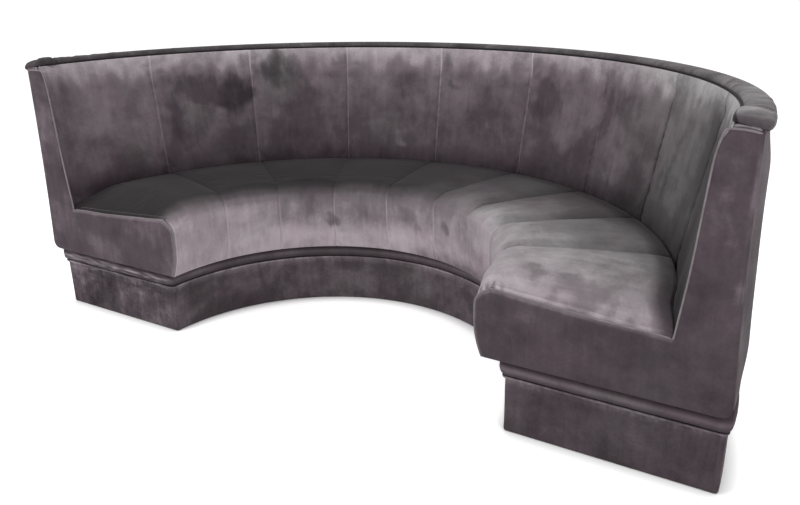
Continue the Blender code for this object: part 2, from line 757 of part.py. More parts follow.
def build_screws(pieces):
    """Coach screws down through the base ring and the spacers into the plinth, with a hole in each."""
    cutter_mesh = bpy.data.meshes.new("screw_holes")
    bm = bmesh.new()
    tip = Z_PLINTH_TOP - PLINTH_TOP_THICKNESS + SCREW_TIP_COVER
    head = Z_BASE_TOP + GAP
    for number, seam in enumerate(SCREW_SEAMS, 1):
        turn = math.radians(SEAM_ANGLES[seam])
        radius = R_SCREWS[number % 2]
        at = Vector((radius * math.cos(turn), radius * math.sin(turn), 0.0))
        add_screw(f"coach_screw_{number}", at, tip, head)
        length = 2 * (head - tip)
        bmesh.ops.create_cone(
            bm,
            cap_ends=True,
            segments=SCREW_SIDES,
            radius1=SCREW_RADIUS + SCREW_CLEARANCE,
            radius2=SCREW_RADIUS + SCREW_CLEARANCE,
            depth=length,
            matrix=Matrix.Translation(at + Vector((0.0, 0.0, (head + tip) / 2))),
        )
    bm.to_mesh(cutter_mesh)
    bm.free()
    cutter = add_object("screw_holes", cutter_mesh, STEEL, CUTTERS)
    cutter.hide_render = True
    cutter.display_type = "WIRE"
    for piece in pieces:
        cut = piece.modifiers.new("screw_holes", "BOOLEAN")
        cut.operation = "DIFFERENCE"
        cut.solver = "EXACT"
        cut.object = cutter


def add_screw(name, at, tip, head):
    """Turned from a half profile, head first."""
    profile = [
        (0.0, head + SCREW_HEAD_HEIGHT),
        (SCREW_HEAD_RADIUS, head + SCREW_HEAD_HEIGHT),
        (SCREW_HEAD_RADIUS, head),
        (SCREW_RADIUS, head),
        (SCREW_RADIUS, tip + SCREW_RADIUS),
        (0.0, tip),
    ]
    mesh = bpy.data.meshes.new(name)
    edges = [(i, i + 1) for i in range(len(profile) - 1)]
    mesh.from_pydata([(r, 0.0, z) for r, z in profile], edges, [])
    screw = add_object(name, mesh, STEEL)
    screw.location = at
    turn = screw.modifiers.new("turn", "SCREW")
    turn.steps = SCREW_SIDES
    turn.render_steps = SCREW_SIDES
    turn.use_merge_vertices = True
    turn.merge_threshold = 0.00001


def main():
    plinth_top = build_plinth()
    spacers = build_bead()
    base_ring = build_carcass()
    build_seat()
    build_back()
    build_cap()
    build_ends()
    build_screws([plinth_top, *spacers, base_ring])


main()
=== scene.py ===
"""Looks of the half-round banquette: velvet covers with sewn channels, cap, bead, plinth, piping and welts.

A skin is a grid of points: columns run round the arc from the right-hand end to the left, rows run along
a section in (radius, height). Lengths are metres, in the frame's own axes.
"""

import json
import math

import bpy
import numpy as np
from mathutils import Matrix, Vector, geometry, noise

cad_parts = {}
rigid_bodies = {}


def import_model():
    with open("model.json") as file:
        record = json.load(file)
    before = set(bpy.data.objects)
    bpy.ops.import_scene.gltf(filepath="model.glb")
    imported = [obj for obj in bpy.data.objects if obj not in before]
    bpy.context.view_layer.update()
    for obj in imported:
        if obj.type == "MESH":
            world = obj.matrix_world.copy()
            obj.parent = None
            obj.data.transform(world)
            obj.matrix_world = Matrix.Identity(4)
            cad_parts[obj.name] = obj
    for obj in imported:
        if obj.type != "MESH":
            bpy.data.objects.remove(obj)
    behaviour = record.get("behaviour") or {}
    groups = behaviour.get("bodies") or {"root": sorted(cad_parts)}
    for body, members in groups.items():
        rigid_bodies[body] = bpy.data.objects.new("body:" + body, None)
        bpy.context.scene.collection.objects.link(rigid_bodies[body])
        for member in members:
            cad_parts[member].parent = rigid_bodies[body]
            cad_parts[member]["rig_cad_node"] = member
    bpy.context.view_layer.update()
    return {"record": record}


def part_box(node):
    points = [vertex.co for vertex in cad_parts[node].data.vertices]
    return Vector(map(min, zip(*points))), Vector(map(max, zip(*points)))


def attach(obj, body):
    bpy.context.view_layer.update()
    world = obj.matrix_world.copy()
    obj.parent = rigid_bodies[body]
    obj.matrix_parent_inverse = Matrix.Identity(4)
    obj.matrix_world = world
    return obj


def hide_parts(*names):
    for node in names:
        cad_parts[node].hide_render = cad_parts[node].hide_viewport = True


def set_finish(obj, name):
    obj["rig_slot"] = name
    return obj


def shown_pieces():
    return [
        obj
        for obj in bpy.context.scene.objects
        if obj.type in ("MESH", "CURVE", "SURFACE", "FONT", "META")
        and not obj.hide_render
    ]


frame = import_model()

# Places taken from the frame
GAP = 0.0003
ARC_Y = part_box("end_board_right")[1].y + GAP
END_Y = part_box("end_cover_right")[0].y
COVER_REACH = ARC_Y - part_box("seat_cover")[0].y
END_REACH = ARC_Y - END_Y
Z_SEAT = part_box("seat_cover")[0].z
Z_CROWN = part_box("seat_cover")[1].z
Z_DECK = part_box("seat_deck")[1].z
Z_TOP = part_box("top_cap")[1].z
Z_RAIL_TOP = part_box("back_top_rail")[1].z
Z_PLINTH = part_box("plinth_cover")[0].z
Z_PLINTH_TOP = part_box("plinth_cover")[1].z
Z_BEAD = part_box("bead_roll_front")[0].z
Z_BEAD_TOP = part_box("bead_roll_front")[1].z
PLINTH_REACH = ARC_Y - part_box("plinth_cover")[0].y
R_PLINTH_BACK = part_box("plinth_cover")[1].x

# Seat and back sections, close to those in the part's source
SEAM_ANGLES = (20.5, 40.0, 58.5, 77.0, 97.5, 118.0, 138.5, 159.0)
R_FRONT = 0.588
R_RAIL = 0.612
R_CREASE = 1.061
R_PIPING = 1.144
R_PLINTH = 0.645
R_OUTER_TOP = 1.2092
FRONT_BELLY = 0.030
NOSE_RADIUS = 0.055
NOSE_LENGTH = 0.095
END_NOSE_RADIUS = 0.058
END_NOSE_LENGTH = 0.070
SEAT_FALL = 0.020
SEAT_SWELL = 0.009
END_DROP_FRONT = 0.044
END_DROP_BACK = 0.061
END_SINK = 0.028
DRAW_IN = 0.090
SEAT_RISE = 0.150
FLUTE_DEPTH = 0.008
TOP_FLUTE = 0.003
FLUTE_POWER = 2.6
FLUTE_FADE = 0.080
GROOVE_DEPTH = 0.0030
GROOVE_WIDTH = 0.0035
PANEL_FOOT = 1.1136
PANEL_TOP = 1.1686
OUTER_FLARE = 0.025
FOOT_ROUND = 0.028
Z_CREASE = Z_CROWN - SEAT_FALL
Z_PIPING = Z_TOP - 0.016
Z_COVER_TOP = Z_PIPING - 0.0036
R_MIDDLE = (R_FRONT + R_CREASE) / 2

# The way the pile lies on upright faces
DOWN = (0.0, 0.0, -1.0)

# Numbers that tell widths of cloth apart: the seat's start at 0, and a pair lies either side of its own
BACK_PANELS = 20
CAP_PANEL = 50.0
PIPING_PANEL = 61.0
WELT_PANELS = 62.0
BACK_WELT_PANELS = 64.0
TOP_WELT_PANELS = 66.0
END_PANELS = 70.0
OUTER_PANELS = 80.0
PLINTH_PANEL = 90.0
BEAD_PANEL = 95.0

# Line that the inside back follows at the flat ends, foot to cap, in (radius, height)
END_LINE = (
    (1.0815, 0.408),
    (1.1000, 0.580),
    (1.1115, 0.742),
    (1.1205, 0.857),
    (1.1320, 0.897),
    (1.1460, 0.9223),
)

# Grid steps
SEAT_COLUMNS = 40
BACK_COLUMNS = 56
END_COLUMNS = 9
SEAT_ROWS = 128
BACK_ROWS = 104
SIM_COLUMNS = 26
SIM_SEAT_ROWS = 60
SIM_BACK_ROWS = 40
SIM_FRAMES = 20

# Pressure behind the cloth, its slack and the most that it may move
SEAT_PRESS = (2.5, 0.004, 0.0025)
BACK_PRESS = (2.0, 0.015, 0.004)


def mix(a, b, t):
    return a + (b - a) * t


def smooth(t):
    t = np.clip(t, 0.0, 1.0)
    return t * t * (3 - 2 * t)


def rise(value, start, width):
    """0 up to a start and 1 a width past it, the other way round where the width is less than 0."""
    return smooth((value - start) / width)


def bell(t):
    """1 at 0, and next to nothing past 2 on either side."""
    return np.exp(-(t**2))


def row_levels(rows):
    """Share of the way along a section, at each of its rows."""
    return np.linspace(0, 1, rows)[None, :]


# Lines and grids


def unit(vectors):
    return vectors / np.maximum(np.linalg.norm(vectors, axis=-1, keepdims=True), 1e-12)


def steps_of(points, axis=0):
    """Distances between neighbours."""
    return np.linalg.norm(np.diff(points, axis=axis), axis=-1)


def running(steps):
    return np.concatenate([[0], np.cumsum(steps)])


def curve_through(points, count, steps=14):
    """Even points on a Catmull-Rom curve through the given ones."""
    p = np.array(points, float)
    p = np.vstack([2 * p[0] - p[1], p, 2 * p[-1] - p[-2]])
    t = np.linspace(0, 1, steps, endpoint=False)[:, None]
    dense = []
    for a, b, c, d in zip(p, p[1:], p[2:], p[3:]):
        bend = (2 * a - 5 * b + 4 * c - d) * t**2 + (3 * b - a - 3 * c + d) * t**3
        dense.append(0.5 * (2 * b + (c - a) * t + bend))
    return even(np.vstack([*dense, p[-2:-1]]), count)


def even(line, count):
    """The same line with evenly spaced points."""
    line = np.asarray(line, float)
    length = running(steps_of(line))
    want = np.linspace(0, length[-1], count)
    return np.stack([np.interp(want, length, column) for column in line.T], axis=1)


def arc_points(centre, radius, first, last, count):
    turn = np.radians(np.linspace(first, last, count))
    return [(centre[0] + radius * math.cos(t), centre[1] + radius * math.sin(t)) for t in turn]


def channel_stations(columns, end_columns, reach):
    """Angle and straight reach of each column, closer together near the seams."""
    k = np.arange(columns) / columns
    share = mix(k, 0.5 - 0.5 * np.cos(np.pi * k), 0.75)
    edges = np.radians([0.0, *SEAM_ANGLES, 180.0])
    arc = np.concatenate([*[a + (b - a) * share for a, b in zip(edges, edges[1:])], [np.pi]])
    ends = reach * np.linspace(1, 0, end_columns, endpoint=False)
    angle = np.concatenate([np.zeros(end_columns), arc, np.full(end_columns, np.pi)])
    out = np.concatenate([ends, np.zeros(len(arc)), ends[::-1]])
    return angle, out


def even_stations(radius, reach, step, zone, zone_columns):
    """Angle, straight reach and distance from the nearer end of columns that close up towards both ends."""
    total = np.pi * radius + 2 * reach
    near = zone * np.linspace(0, 1, zone_columns) ** 1.5
    middle = np.linspace(zone, total - zone, int((total - 2 * zone) / step))[1:-1]
    place = np.concatenate([near, middle, total - near[::-1]])
    angle = np.clip((place - reach) / radius, 0, np.pi)
    out = np.maximum(reach - np.minimum(place, total - place), 0)
    return angle, out, np.minimum(place, total - place)


def world(radius, height, angle, out):
    """Points of sections that stand at stations."""
    radius, height = np.broadcast_arrays(radius, height)
    x = radius * np.cos(angle)[:, None]
    y = ARC_Y + radius * np.sin(angle)[:, None] - out[:, None]
    return np.stack([x, y, np.broadcast_to(height, x.shape)], axis=-1)


def normals_of(points):
    """Unit normals of a grid whose rows run up a face that looks towards the middle of the arc."""
    along = np.gradient(points, axis=0)
    across = np.gradient(points, axis=1)
    return unit(np.cross(across, along))


def moved(points, lift):
    """The points of a grid, moved along its normals."""
    return points + normals_of(points) * lift[..., None]


def along_arc(angle, out, radius):
    """Length round the arc from its right-hand end, less than 0 where the cover reaches past it."""
    return angle * radius + np.where(angle > np.pi / 2, out, -out)


def from_end(angle, out, reach=COVER_REACH):
    """Distance of each column from the nearer flat end."""
    return reach - out + np.minimum(angle, np.pi - angle) * R_MIDDLE


def channel_of(angle, out):
    """Which channel each column is in, and its share of the way across it."""
    place = along_arc(angle, out, R_MIDDLE)
    last = np.pi * R_MIDDLE + COVER_REACH
    edges = np.array([-COVER_REACH, *(np.radians(SEAM_ANGLES) * R_MIDDLE), last])
    number = np.clip(np.searchsorted(edges, place, side="right") - 1, 0, len(edges) - 2)
    share = (place - edges[number]) / (edges[number + 1] - edges[number])
    return number, np.clip(share, 0, 1)


def pillow(share):
    return 1 - np.abs(2 * share - 1) ** FLUTE_POWER


def drawn_in(angle, out):
    """0 at the flat ends, 1 where the covers are no longer drawn towards them."""
    return smooth(from_end(angle, out) / DRAW_IN)


def seat_rise(angle, out):
    """0 at the flat ends, 1 where the seat has its full height."""
    return 1 - np.clip(1 - from_end(angle, out) / SEAT_RISE, 0, 1) ** 2


def groove(points, angle):
    """How near each point is to a sewn seam: 1 on it, 0 well away."""
    near = np.zeros(points.shape[:2])
    radius = np.hypot(points[..., 0], points[..., 1] - ARC_Y)
    for seam in np.radians(SEAM_ANGLES):
        away = (angle[:, None] - seam) * radius / GROOVE_WIDTH
        near = np.maximum(near, bell(away))
    return near


def rumple(points, size, seed=0.0):
    """Smooth noise at each point, with folds of about the given size."""
    flat = points.reshape(-1, 3) / size
    values = [noise.noise(Vector((x + seed, y, z))) for x, y, z in flat.tolist()]
    return np.array(values).reshape(points.shape[:-1])


# Objects


def new_object(name, verts, faces, cloth=None, nap=None, look=None, marks=None):
    mesh = bpy.data.meshes.new(name)
    mesh.from_pydata(np.reshape(verts, (-1, 3)).tolist(), [], faces)
    mesh.shade_smooth()
    for key, values in (("cloth", cloth), ("nap", nap), ("look", look), ("marks", marks)):
        if values is not None:
            made = mesh.attributes.new(key, "FLOAT_VECTOR", "POINT")
            made.data.foreach_set("vector", np.ascontiguousarray(values, np.float32).ravel())
    obj = bpy.data.objects.new(name, mesh)
    bpy.context.scene.collection.objects.link(obj)
    return obj


def grid_faces(columns, rows, round_columns=False, round_rows=False, turned=False):
    """Quads of a grid, with caps over the open ends of a section that closes on itself."""
    faces = []
    for i in range(columns if round_columns else columns - 1):
        for j in range(rows if round_rows else rows - 1):
            k, m = (i + 1) % columns, (j + 1) % rows
            faces.append((i * rows + j, i * rows + m, k * rows + m, k * rows + j))
    if round_rows and not round_columns:
        faces.append(tuple(range(rows - 1, -1, -1)))
        faces.append(tuple((columns - 1) * rows + j for j in range(rows)))
    if turned:
        faces = [tuple(reversed(face)) for face in faces]
    return faces


def cloth_coords(points, panel=0.0):
    """Metres along the columns and rows of a skin, and a number that tells its panels apart."""
    coords = np.zeros(points.shape)
    coords[..., 0] = running(steps_of(points).mean(axis=1))[:, None]
    coords[..., 1] = running(steps_of(points, axis=1).mean(axis=0))[None, :]
    coords[..., 2] = np.broadcast_to(np.asarray(panel, float), points.shape[:1])[:, None]
    return coords


def row_direction(points):
    """Unit direction of a skin's rows, from first to last."""
    return unit(np.gradient(points, axis=1))


def velvet_look(shape, tone=0.0, cloudy=1.0, grey=0.5):
    """What the velvet shader reads at each point: how light the pile looks, painted light and shade
    included, how cloudy and how grey.
    """
    return np.stack([np.broadcast_to(v, shape) for v in (tone, cloudy, grey)], axis=-1)


def cloth_piece(name, points, panel, look, nap=(0.0, 0.0, 0.0), marks=None, **closing):
    """Piece of cloth from a grid whose rows close on themselves."""
    faces = grid_faces(*points.shape[:2], round_rows=True, **closing)
    nap = np.broadcast_to(nap, points.shape)
    return new_object(name, points, faces, cloth_coords(points, panel), nap, look, marks)


def padded_piece(name, skin, inner, nap, panel, look, marks):
    """Closed piece: a skin and the hidden rows that close its section."""
    points = np.concatenate([skin, inner], axis=1)
    hidden = np.zeros(inner.shape)
    nap, look, marks = (np.concatenate([values, hidden], axis=1) for values in (nap, look, marks))
    return cloth_piece(name, points, panel, look, nap, marks)


def hidden_rows(places, angle, out):
    """Rows behind a skin, at places in (radius, height)."""
    rows = [world(np.full(len(angle), r)[:, None], np.array([[z]]), angle, out) for r, z in places]
    return np.concatenate(rows, axis=1)


def declare(obj, slot, *nodes, fill=None):
    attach(obj, "root")
    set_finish(obj, slot)
    if nodes:
        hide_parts(*nodes)
    return obj


def arc_marks(angle, out, levels, radius, marks):
    """Brushed marks whose first value is an angle in degrees."""
    placed = [(math.radians(degrees) * radius, *rest) for degrees, *rest in marks]
    return brushed_marks(along_arc(angle, out, radius)[:, None], levels, placed)


def brushed_marks(place, levels, marks):
    """Places where the pile lies another way, as (weight, tone, 0) at each point.

    Each mark is given as (place, level, half width, half height, lean, tone).
    """
    spots = np.stack(np.broadcast_arrays(place, levels, 0.0), axis=-1)
    sideways = 0.050 * rumple(spots, 0.10, 3.0) + 0.018 * rumple(spots, 0.030, 9.0)
    upwards = 0.050 * rumple(spots, 0.10, 15.0) + 0.018 * rumple(spots, 0.030, 21.0)
    weight = np.zeros(levels.shape)
    total = np.zeros(levels.shape)
    for across, level, width, height, lean, depth in marks:
        x = place + sideways - across
        y = levels + upwards - level
        aside = (x * math.cos(lean) + y * math.sin(lean)) / width
        above = (y * math.cos(lean) - x * math.sin(lean)) / height
        share = smooth((1.6 - np.hypot(aside, above)) / 1.4)
        weight += share
        total += depth * share
    tone = total / np.maximum(weight, 1e-6)
    return np.stack([np.clip(weight, 0, 1), tone, np.zeros(levels.shape)], axis=-1)


# Cloth


def settle(points, held, pressure, slack, most):
    """How far a slightly slack sheet moves when it is pressed from behind and held along its seams."""
    columns, rows = points.shape[:2]
    sheet = new_object("settling", points, grid_faces(columns, rows))
    pins = sheet.vertex_groups.new(name="held")
    pins.add([int(i) for i in np.flatnonzero(held.ravel())], 1.0, "REPLACE")
    cloth = sheet.modifiers.new("cloth", "CLOTH")
    cloth.settings.quality = 5
    cloth.settings.mass = 0.3
    cloth.settings.tension_stiffness = 20.0
    cloth.settings.compression_stiffness = 20.0
    cloth.settings.shear_stiffness = 8.0
    cloth.settings.bending_stiffness = 0.4
    cloth.settings.use_pressure = True
    cloth.settings.uniform_pressure_force = pressure
    cloth.settings.vertex_group_mass = "held"
    cloth.settings.shrink_min = -slack
    cloth.settings.effector_weights.gravity = 0.0
    cloth.collision_settings.use_collision = False
    scene = bpy.context.scene
    cloth.point_cache.frame_start = 1
    cloth.point_cache.frame_end = SIM_FRAMES
    for step in range(1, SIM_FRAMES + 1):
        scene.frame_set(step)
    settled = sheet.evaluated_get(bpy.context.evaluated_depsgraph_get()).to_mesh()
    co = np.empty(columns * rows * 3, np.float32)
    settled.vertices.foreach_get("co", co)
    move = co.reshape(points.shape) - points
    bpy.data.objects.remove(sheet)
    scene.frame_set(1)
    length = np.linalg.norm(move, axis=-1, keepdims=True)
    return move * np.minimum(1.0, most / np.maximum(length, 1e-9))


def resample(values, coarse, fine):
    """Values of a coarse grid read at the places of a fine one, along both directions."""
    (cu, cv), (fu, fv) = coarse, fine
    half = np.stack([[np.interp(fu, cu, values[:, j, c]) for j in range(len(cv))] for c in range(3)])
    full = np.stack([[np.interp(fv, cv, half[c][:, i]) for i in range(len(fu))] for c in range(3)])
    return np.moveaxis(full, 0, -1)


def seams_held(angle, out, rows):
    """True along the seams, the flat ends and the skin's first and last rows."""
    held = np.zeros((len(angle), rows), bool)
    for seam in np.radians(SEAM_ANGLES):
        held[np.argmin(np.abs(angle - seam) + (out > 0))] = True
    held[[0, -1]] = True
    held[:, [0, -1]] = True
    return held


def settled_skin(base, columns, rows, sim_rows, pressure, slack, most):
    """The fine skin, moved as a coarser sheet of cloth settles."""
    angle, out = channel_stations(columns, END_COLUMNS, COVER_REACH)
    fine = base(angle, out, rows)
    rough_angle, rough_out = channel_stations(SIM_COLUMNS, 2, COVER_REACH)
    rough = base(rough_angle, rough_out, sim_rows)
    move = settle(rough, seams_held(rough_angle, rough_out, sim_rows), pressure, slack, most)
    places = along_arc(rough_angle, rough_out, R_MIDDLE), np.linspace(0, 1, sim_rows)
    fine_places = along_arc(angle, out, R_MIDDLE), np.linspace(0, 1, rows)
    return fine + resample(move, places, fine_places), angle, out


# Seat

END_ROUND = 0.008
END_ROUND_DEPTH = 0.0020
TOPSTITCH = 0.0103
TOPSTITCH_DEPTH = 0.0009
TOPSTITCH_WIDTH = 0.0018
STITCH_LENGTH = 0.0034
STITCH_GAP = 0.0010
STITCH_RADII = (0.00025, 0.0005, 0.0005, 0.00025)
STITCH_SIDES = 6
STITCH_TONE = 0.32
STITCHED_ROWS = slice(4, -8)
# Painted sheen on the seat's front, and painted shade over its nose, along its top and on its right-hand
# half
SEAT_FRONT_SHEEN = 0.45
NOSE_SHADE = 0.82
FRONT_FOOT_SHADE = -0.16
CREASE_SHADOW = -0.16
FLUTE_SHADE = -0.12
SEAT_RIGHT_SHADE = -0.09
NOSE_ANGLES = (48, 68, 87, 110, 130, 150, 172)
NOSE_SHARES = (0.00, 0.42, 0.90, 1.00, 1.06, 1.03, 0.92)
FADE_ANGLES = (0, 12, 30, 47, 70, 90)
TOP_FADE_SHADES = (0.06, 0.12, 0.36, 0.56, 0.23, 0.03)
SEAM_HIGHLIGHT = 0.12
EDGE_SHEEN = 0.05
# Where the front, the dark of the nose and the gathers start or end, and over how much they fade
FRONT_END = (0.26, 0.12)
NOSE_START = (0.23, 0.18)
EARLY_NOSE_START = (0.07, 0.13)
GATHER_START = (0.20, 0.06)
GATHER_END = (0.42, -0.08)
GATHER_REACH = 0.030
GATHER_STEP = 0.034
GATHER_DEPTH = 0.0014
GATHER_SHADE = -0.28
# Marks where the pile lies another way: degrees, height or radius, half width, half height, lean and tone
FRONT_MARKS = (
    (127.3, 0.411, 0.024, 0.032, 0.1, -0.12),
    (120.8, 0.355, 0.028, 0.038, 0.0, -0.20),
    (107.4, 0.405, 0.034, 0.040, 0.0, -0.10),
    (88.6, 0.385, 0.032, 0.026, 0.3, -0.10),
    (83.0, 0.350, 0.020, 0.022, 0.0, -0.08),
    (70.0, 0.380, 0.022, 0.034, 0.0, -0.16),
    (138.0, 0.400, 0.040, 0.050, 0.4, -0.06),
)
TOP_MARKS = (
    (1.6, 0.841, 0.050, 0.062, 0.4, -0.14),
    (4.7, 0.690, 0.030, 0.042, 0.3, -0.10),
    (-1.0, 0.950, 0.016, 0.040, 0.3, -0.12),
    (13.0, 0.930, 0.030, 0.050, -0.3, -0.06),
    (24.0, 0.860, 0.045, 0.050, 0.3, -0.07),
)


def seat_section(full, free, rows):
    """Front, nose and top of the seat, then down behind it."""
    crease_r = mix(R_CREASE + END_SINK, R_CREASE, free)
    crease_z = mix(Z_CREASE - END_DROP_BACK, Z_CREASE, full)
    top = mix(Z_CROWN - END_DROP_FRONT, Z_CROWN, full)
    nose = mix(END_NOSE_RADIUS, NOSE_RADIUS, full)
    front = R_FRONT - FRONT_BELLY
    length = mix(END_NOSE_LENGTH, NOSE_LENGTH, full)
    centre = (front + length, top - nose)
    turn = [(length * x, nose * z) for x, z in arc_points((0, 0), 1.0, 180, 90, 5)]
    line = [
        (R_FRONT, Z_SEAT),
        (R_FRONT - 0.75 * FRONT_BELLY, mix(Z_SEAT, centre[1], 0.45)),
        *((centre[0] + x, centre[1] + z) for x, z in turn),
        (mix(centre[0], crease_r, 0.5), mix(top, crease_z, 0.5) + SEAT_SWELL * full),
        (crease_r - 0.030, crease_z + 0.002),
        (crease_r - 0.010, crease_z - 0.006),
        (crease_r - 0.003, crease_z - 0.022),
    ]
    return curve_through(line, rows)


def seat_base(angle, out, rows):
    """The seat's skin before it settles: pressed in at the seams and rounded over at the flat ends."""
    whole = seat_section(1.0, 1.0, rows)
    lines = []
    for full, free in zip(seat_rise(angle, out), drawn_in(angle, out)):
        lines.append(whole if full == 1 else seat_section(full, free, rows))
    lines = np.stack(lines)
    points = world(lines[..., 0], lines[..., 1], angle, out)
    _, share = channel_of(angle, out)
    level = row_levels(rows)
    depth = FLUTE_DEPTH * smooth(level / 0.30) + TOP_FLUTE * rise(level, 0.30, 0.15)
    depth = depth * (1 - 0.8 * rise(level, 0.70, 0.26))
    near = np.clip(from_end(angle, out) / END_ROUND, 0, 1)
    rounded = END_ROUND_DEPTH * (1 - np.sqrt(1 - (1 - near) ** 2))
    sink = depth * (1 - pillow(share))[:, None] + rounded[:, None]
    return moved(points, -sink)


def seat_front(skin):
    """1 on the seat's front, 0 on its top."""
    return 1 - rise(row_levels(skin.shape[1]), *FRONT_END)


def seat_marks(skin, angle, out):
    """Brushed marks, placed by height on the seat's front and by radius on its top."""
    radius = np.hypot(skin[..., 0], skin[..., 1] + out[:, None] - ARC_Y)
    front = arc_marks(angle, out, skin[..., 2], R_FRONT - FRONT_BELLY, FRONT_MARKS)
    top = arc_marks(angle, out, radius, R_MIDDLE, TOP_MARKS)
    return mix(top, front, seat_front(skin)[..., None])


def end_gathers(skin, angle, out):
    """Small puckers beside the welt, round the nose of the right-hand end."""
    level = row_levels(skin.shape[1])
    near = smooth(1 - from_end(angle, out)[:, None] / GATHER_REACH) * (angle[:, None] < 1)
    zone = rise(level, *GATHER_START) * rise(level, *GATHER_END)
    return near * zone * (0.5 + 0.5 * np.cos(2 * np.pi * level / GATHER_STEP))


def seat_look(skin, angle, out):
    """Painted sheen on the front that goes to painted shade over the nose at the far side, and a top that
    fades in painted shade to its crease.
    """
    degrees = np.degrees(angle)[:, None]
    level = row_levels(skin.shape[1]) + 0.03 * rise(degrees, 160, 8)
    level = level - 0.05 * rise(degrees, 155, 15)
    early = mix(0.22, 0.06, rise(degrees, 125, 25))
    nose = mix(rise(level, *NOSE_START), rise(level, *EARLY_NOSE_START), early)
    far = np.interp(degrees, NOSE_ANGLES, NOSE_SHARES)
    along = np.clip((level - 0.34) / 0.60, 0, 1)
    fade = np.interp(degrees, FADE_ANGLES, TOP_FADE_SHADES)
    # Painted sheen on the front, painted shade over the nose and along the top
    tone = SEAT_FRONT_SHEEN - NOSE_SHADE * far * nose - fade * along
    # Painted shade over the right-hand half of the seat
    tone += SEAT_RIGHT_SHADE * rise(degrees, 80, -25) * mix(0.7, 1.0, rise(degrees, 25, 20))
    # Painted shadow in the crease, wider near the right-hand end
    near = 1 - smooth(degrees / 60)
    crease = smooth((level - 0.85 - 0.032 * near) / (0.09 - 0.02 * near))
    tone += CREASE_SHADOW * (1 + 1.6 * near) * crease
    # Painted shade along the foot of the front, above the bead
    foot_shade_span = rise(degrees, 95, -15) * rise(degrees, 40, 15)
    tone += FRONT_FOOT_SHADE * foot_shade_span * (1 - smooth(level / 0.09))
    front = seat_front(skin)
    # Painted highlight along the seams on the front
    tone += SEAM_HIGHLIGHT * groove(skin, angle) * front
    # Painted shade on the top beside each seam, where the channel turns from the light
    number, share = channel_of(angle, out)
    behind = np.where(number > 0, smooth(1 - share / 0.30) * smooth(share / 0.02), 0.0)[:, None]
    tone += FLUTE_SHADE * behind * (1 - front) * (1 - far)
    end = from_end(angle, out)[:, None]
    # Painted sheen on the rounded edge past the topstitching, and painted shade in the puckers
    tone += EDGE_SHEEN * rise(end, TOPSTITCH, -0.003) + GATHER_SHADE * end_gathers(skin, angle, out)
    right = rise(degrees, 90, -10)
    grey = mix(0.10, mix(0.80, 0.22, right * smooth(1 - end / 0.16)), nose)
    return velvet_look(skin.shape[:2], tone, mix(1.0, mix(0.9, 0.7, far), nose), grey)


def build_seat():
    """Seat with its sewn grooves, topstitching and end gathers, closed behind and underneath."""
    skin, angle, out = settled_skin(seat_base, SEAT_COLUMNS, SEAT_ROWS, SIM_SEAT_ROWS, *SEAT_PRESS)
    far = np.interp(np.degrees(angle), NOSE_ANGLES, NOSE_SHARES)[:, None]
    sink = GROOVE_DEPTH * groove(skin, angle) * (1 - 0.6 * far * (1 - seat_front(skin)))
    line = (from_end(angle, out) - TOPSTITCH) / TOPSTITCH_WIDTH
    sink += (TOPSTITCH_DEPTH * bell(line))[:, None] + GATHER_DEPTH * end_gathers(skin, angle, out)
    look = seat_look(skin, angle, out)
    marks = seat_marks(skin, angle, out)
    skin = moved(skin, -sink)
    skin[:, 0, 2] = Z_SEAT
    back = np.hypot(skin[:, -1, 0], skin[:, -1, 1] + out - ARC_Y)
    rail = R_RAIL - GAP
    rows = hidden_rows([(back, Z_DECK + GAP), (rail, Z_DECK + GAP), (rail, Z_SEAT)], angle, out)
    number, _ = channel_of(angle, out)
    seat = padded_piece("seat", skin, rows, -row_direction(skin), number, look, marks)
    declare(seat, "velvet", "seat_cover", "seat_foam", fill=0.9)
    column = int(np.argmin(np.abs(from_end(angle, out) - TOPSTITCH)[: len(angle) // 2]))
    topstitch("topstitch_right", skin[column])
    topstitch("topstitch_left", skin[-1 - column])
    return skin


def topstitch(name, line):
    """Row of stitches along the seat's edge, sunk in its groove."""
    line = line[STITCHED_ROWS]
    count = int(steps_of(line).sum() / (STITCH_LENGTH + STITCH_GAP))
    path = even(line, 4 * count + 1)
    quads = grid_faces(4, STITCH_SIDES, round_rows=True, turned=True)
    verts, faces = [], []
    for k in range(count):
        ring = tube(path[4 * k : 4 * k + 4], STITCH_RADII, STITCH_SIDES)
        faces += [tuple(i + len(verts) for i in face) for face in quads]
        verts += ring.reshape(-1, 3).tolist()
    look = velvet_look((len(verts),), STITCH_TONE, 0.0, 0.3)
    stitches = new_object(name, np.array(verts), faces, look=look)
    return declare(stitches, "velvet")
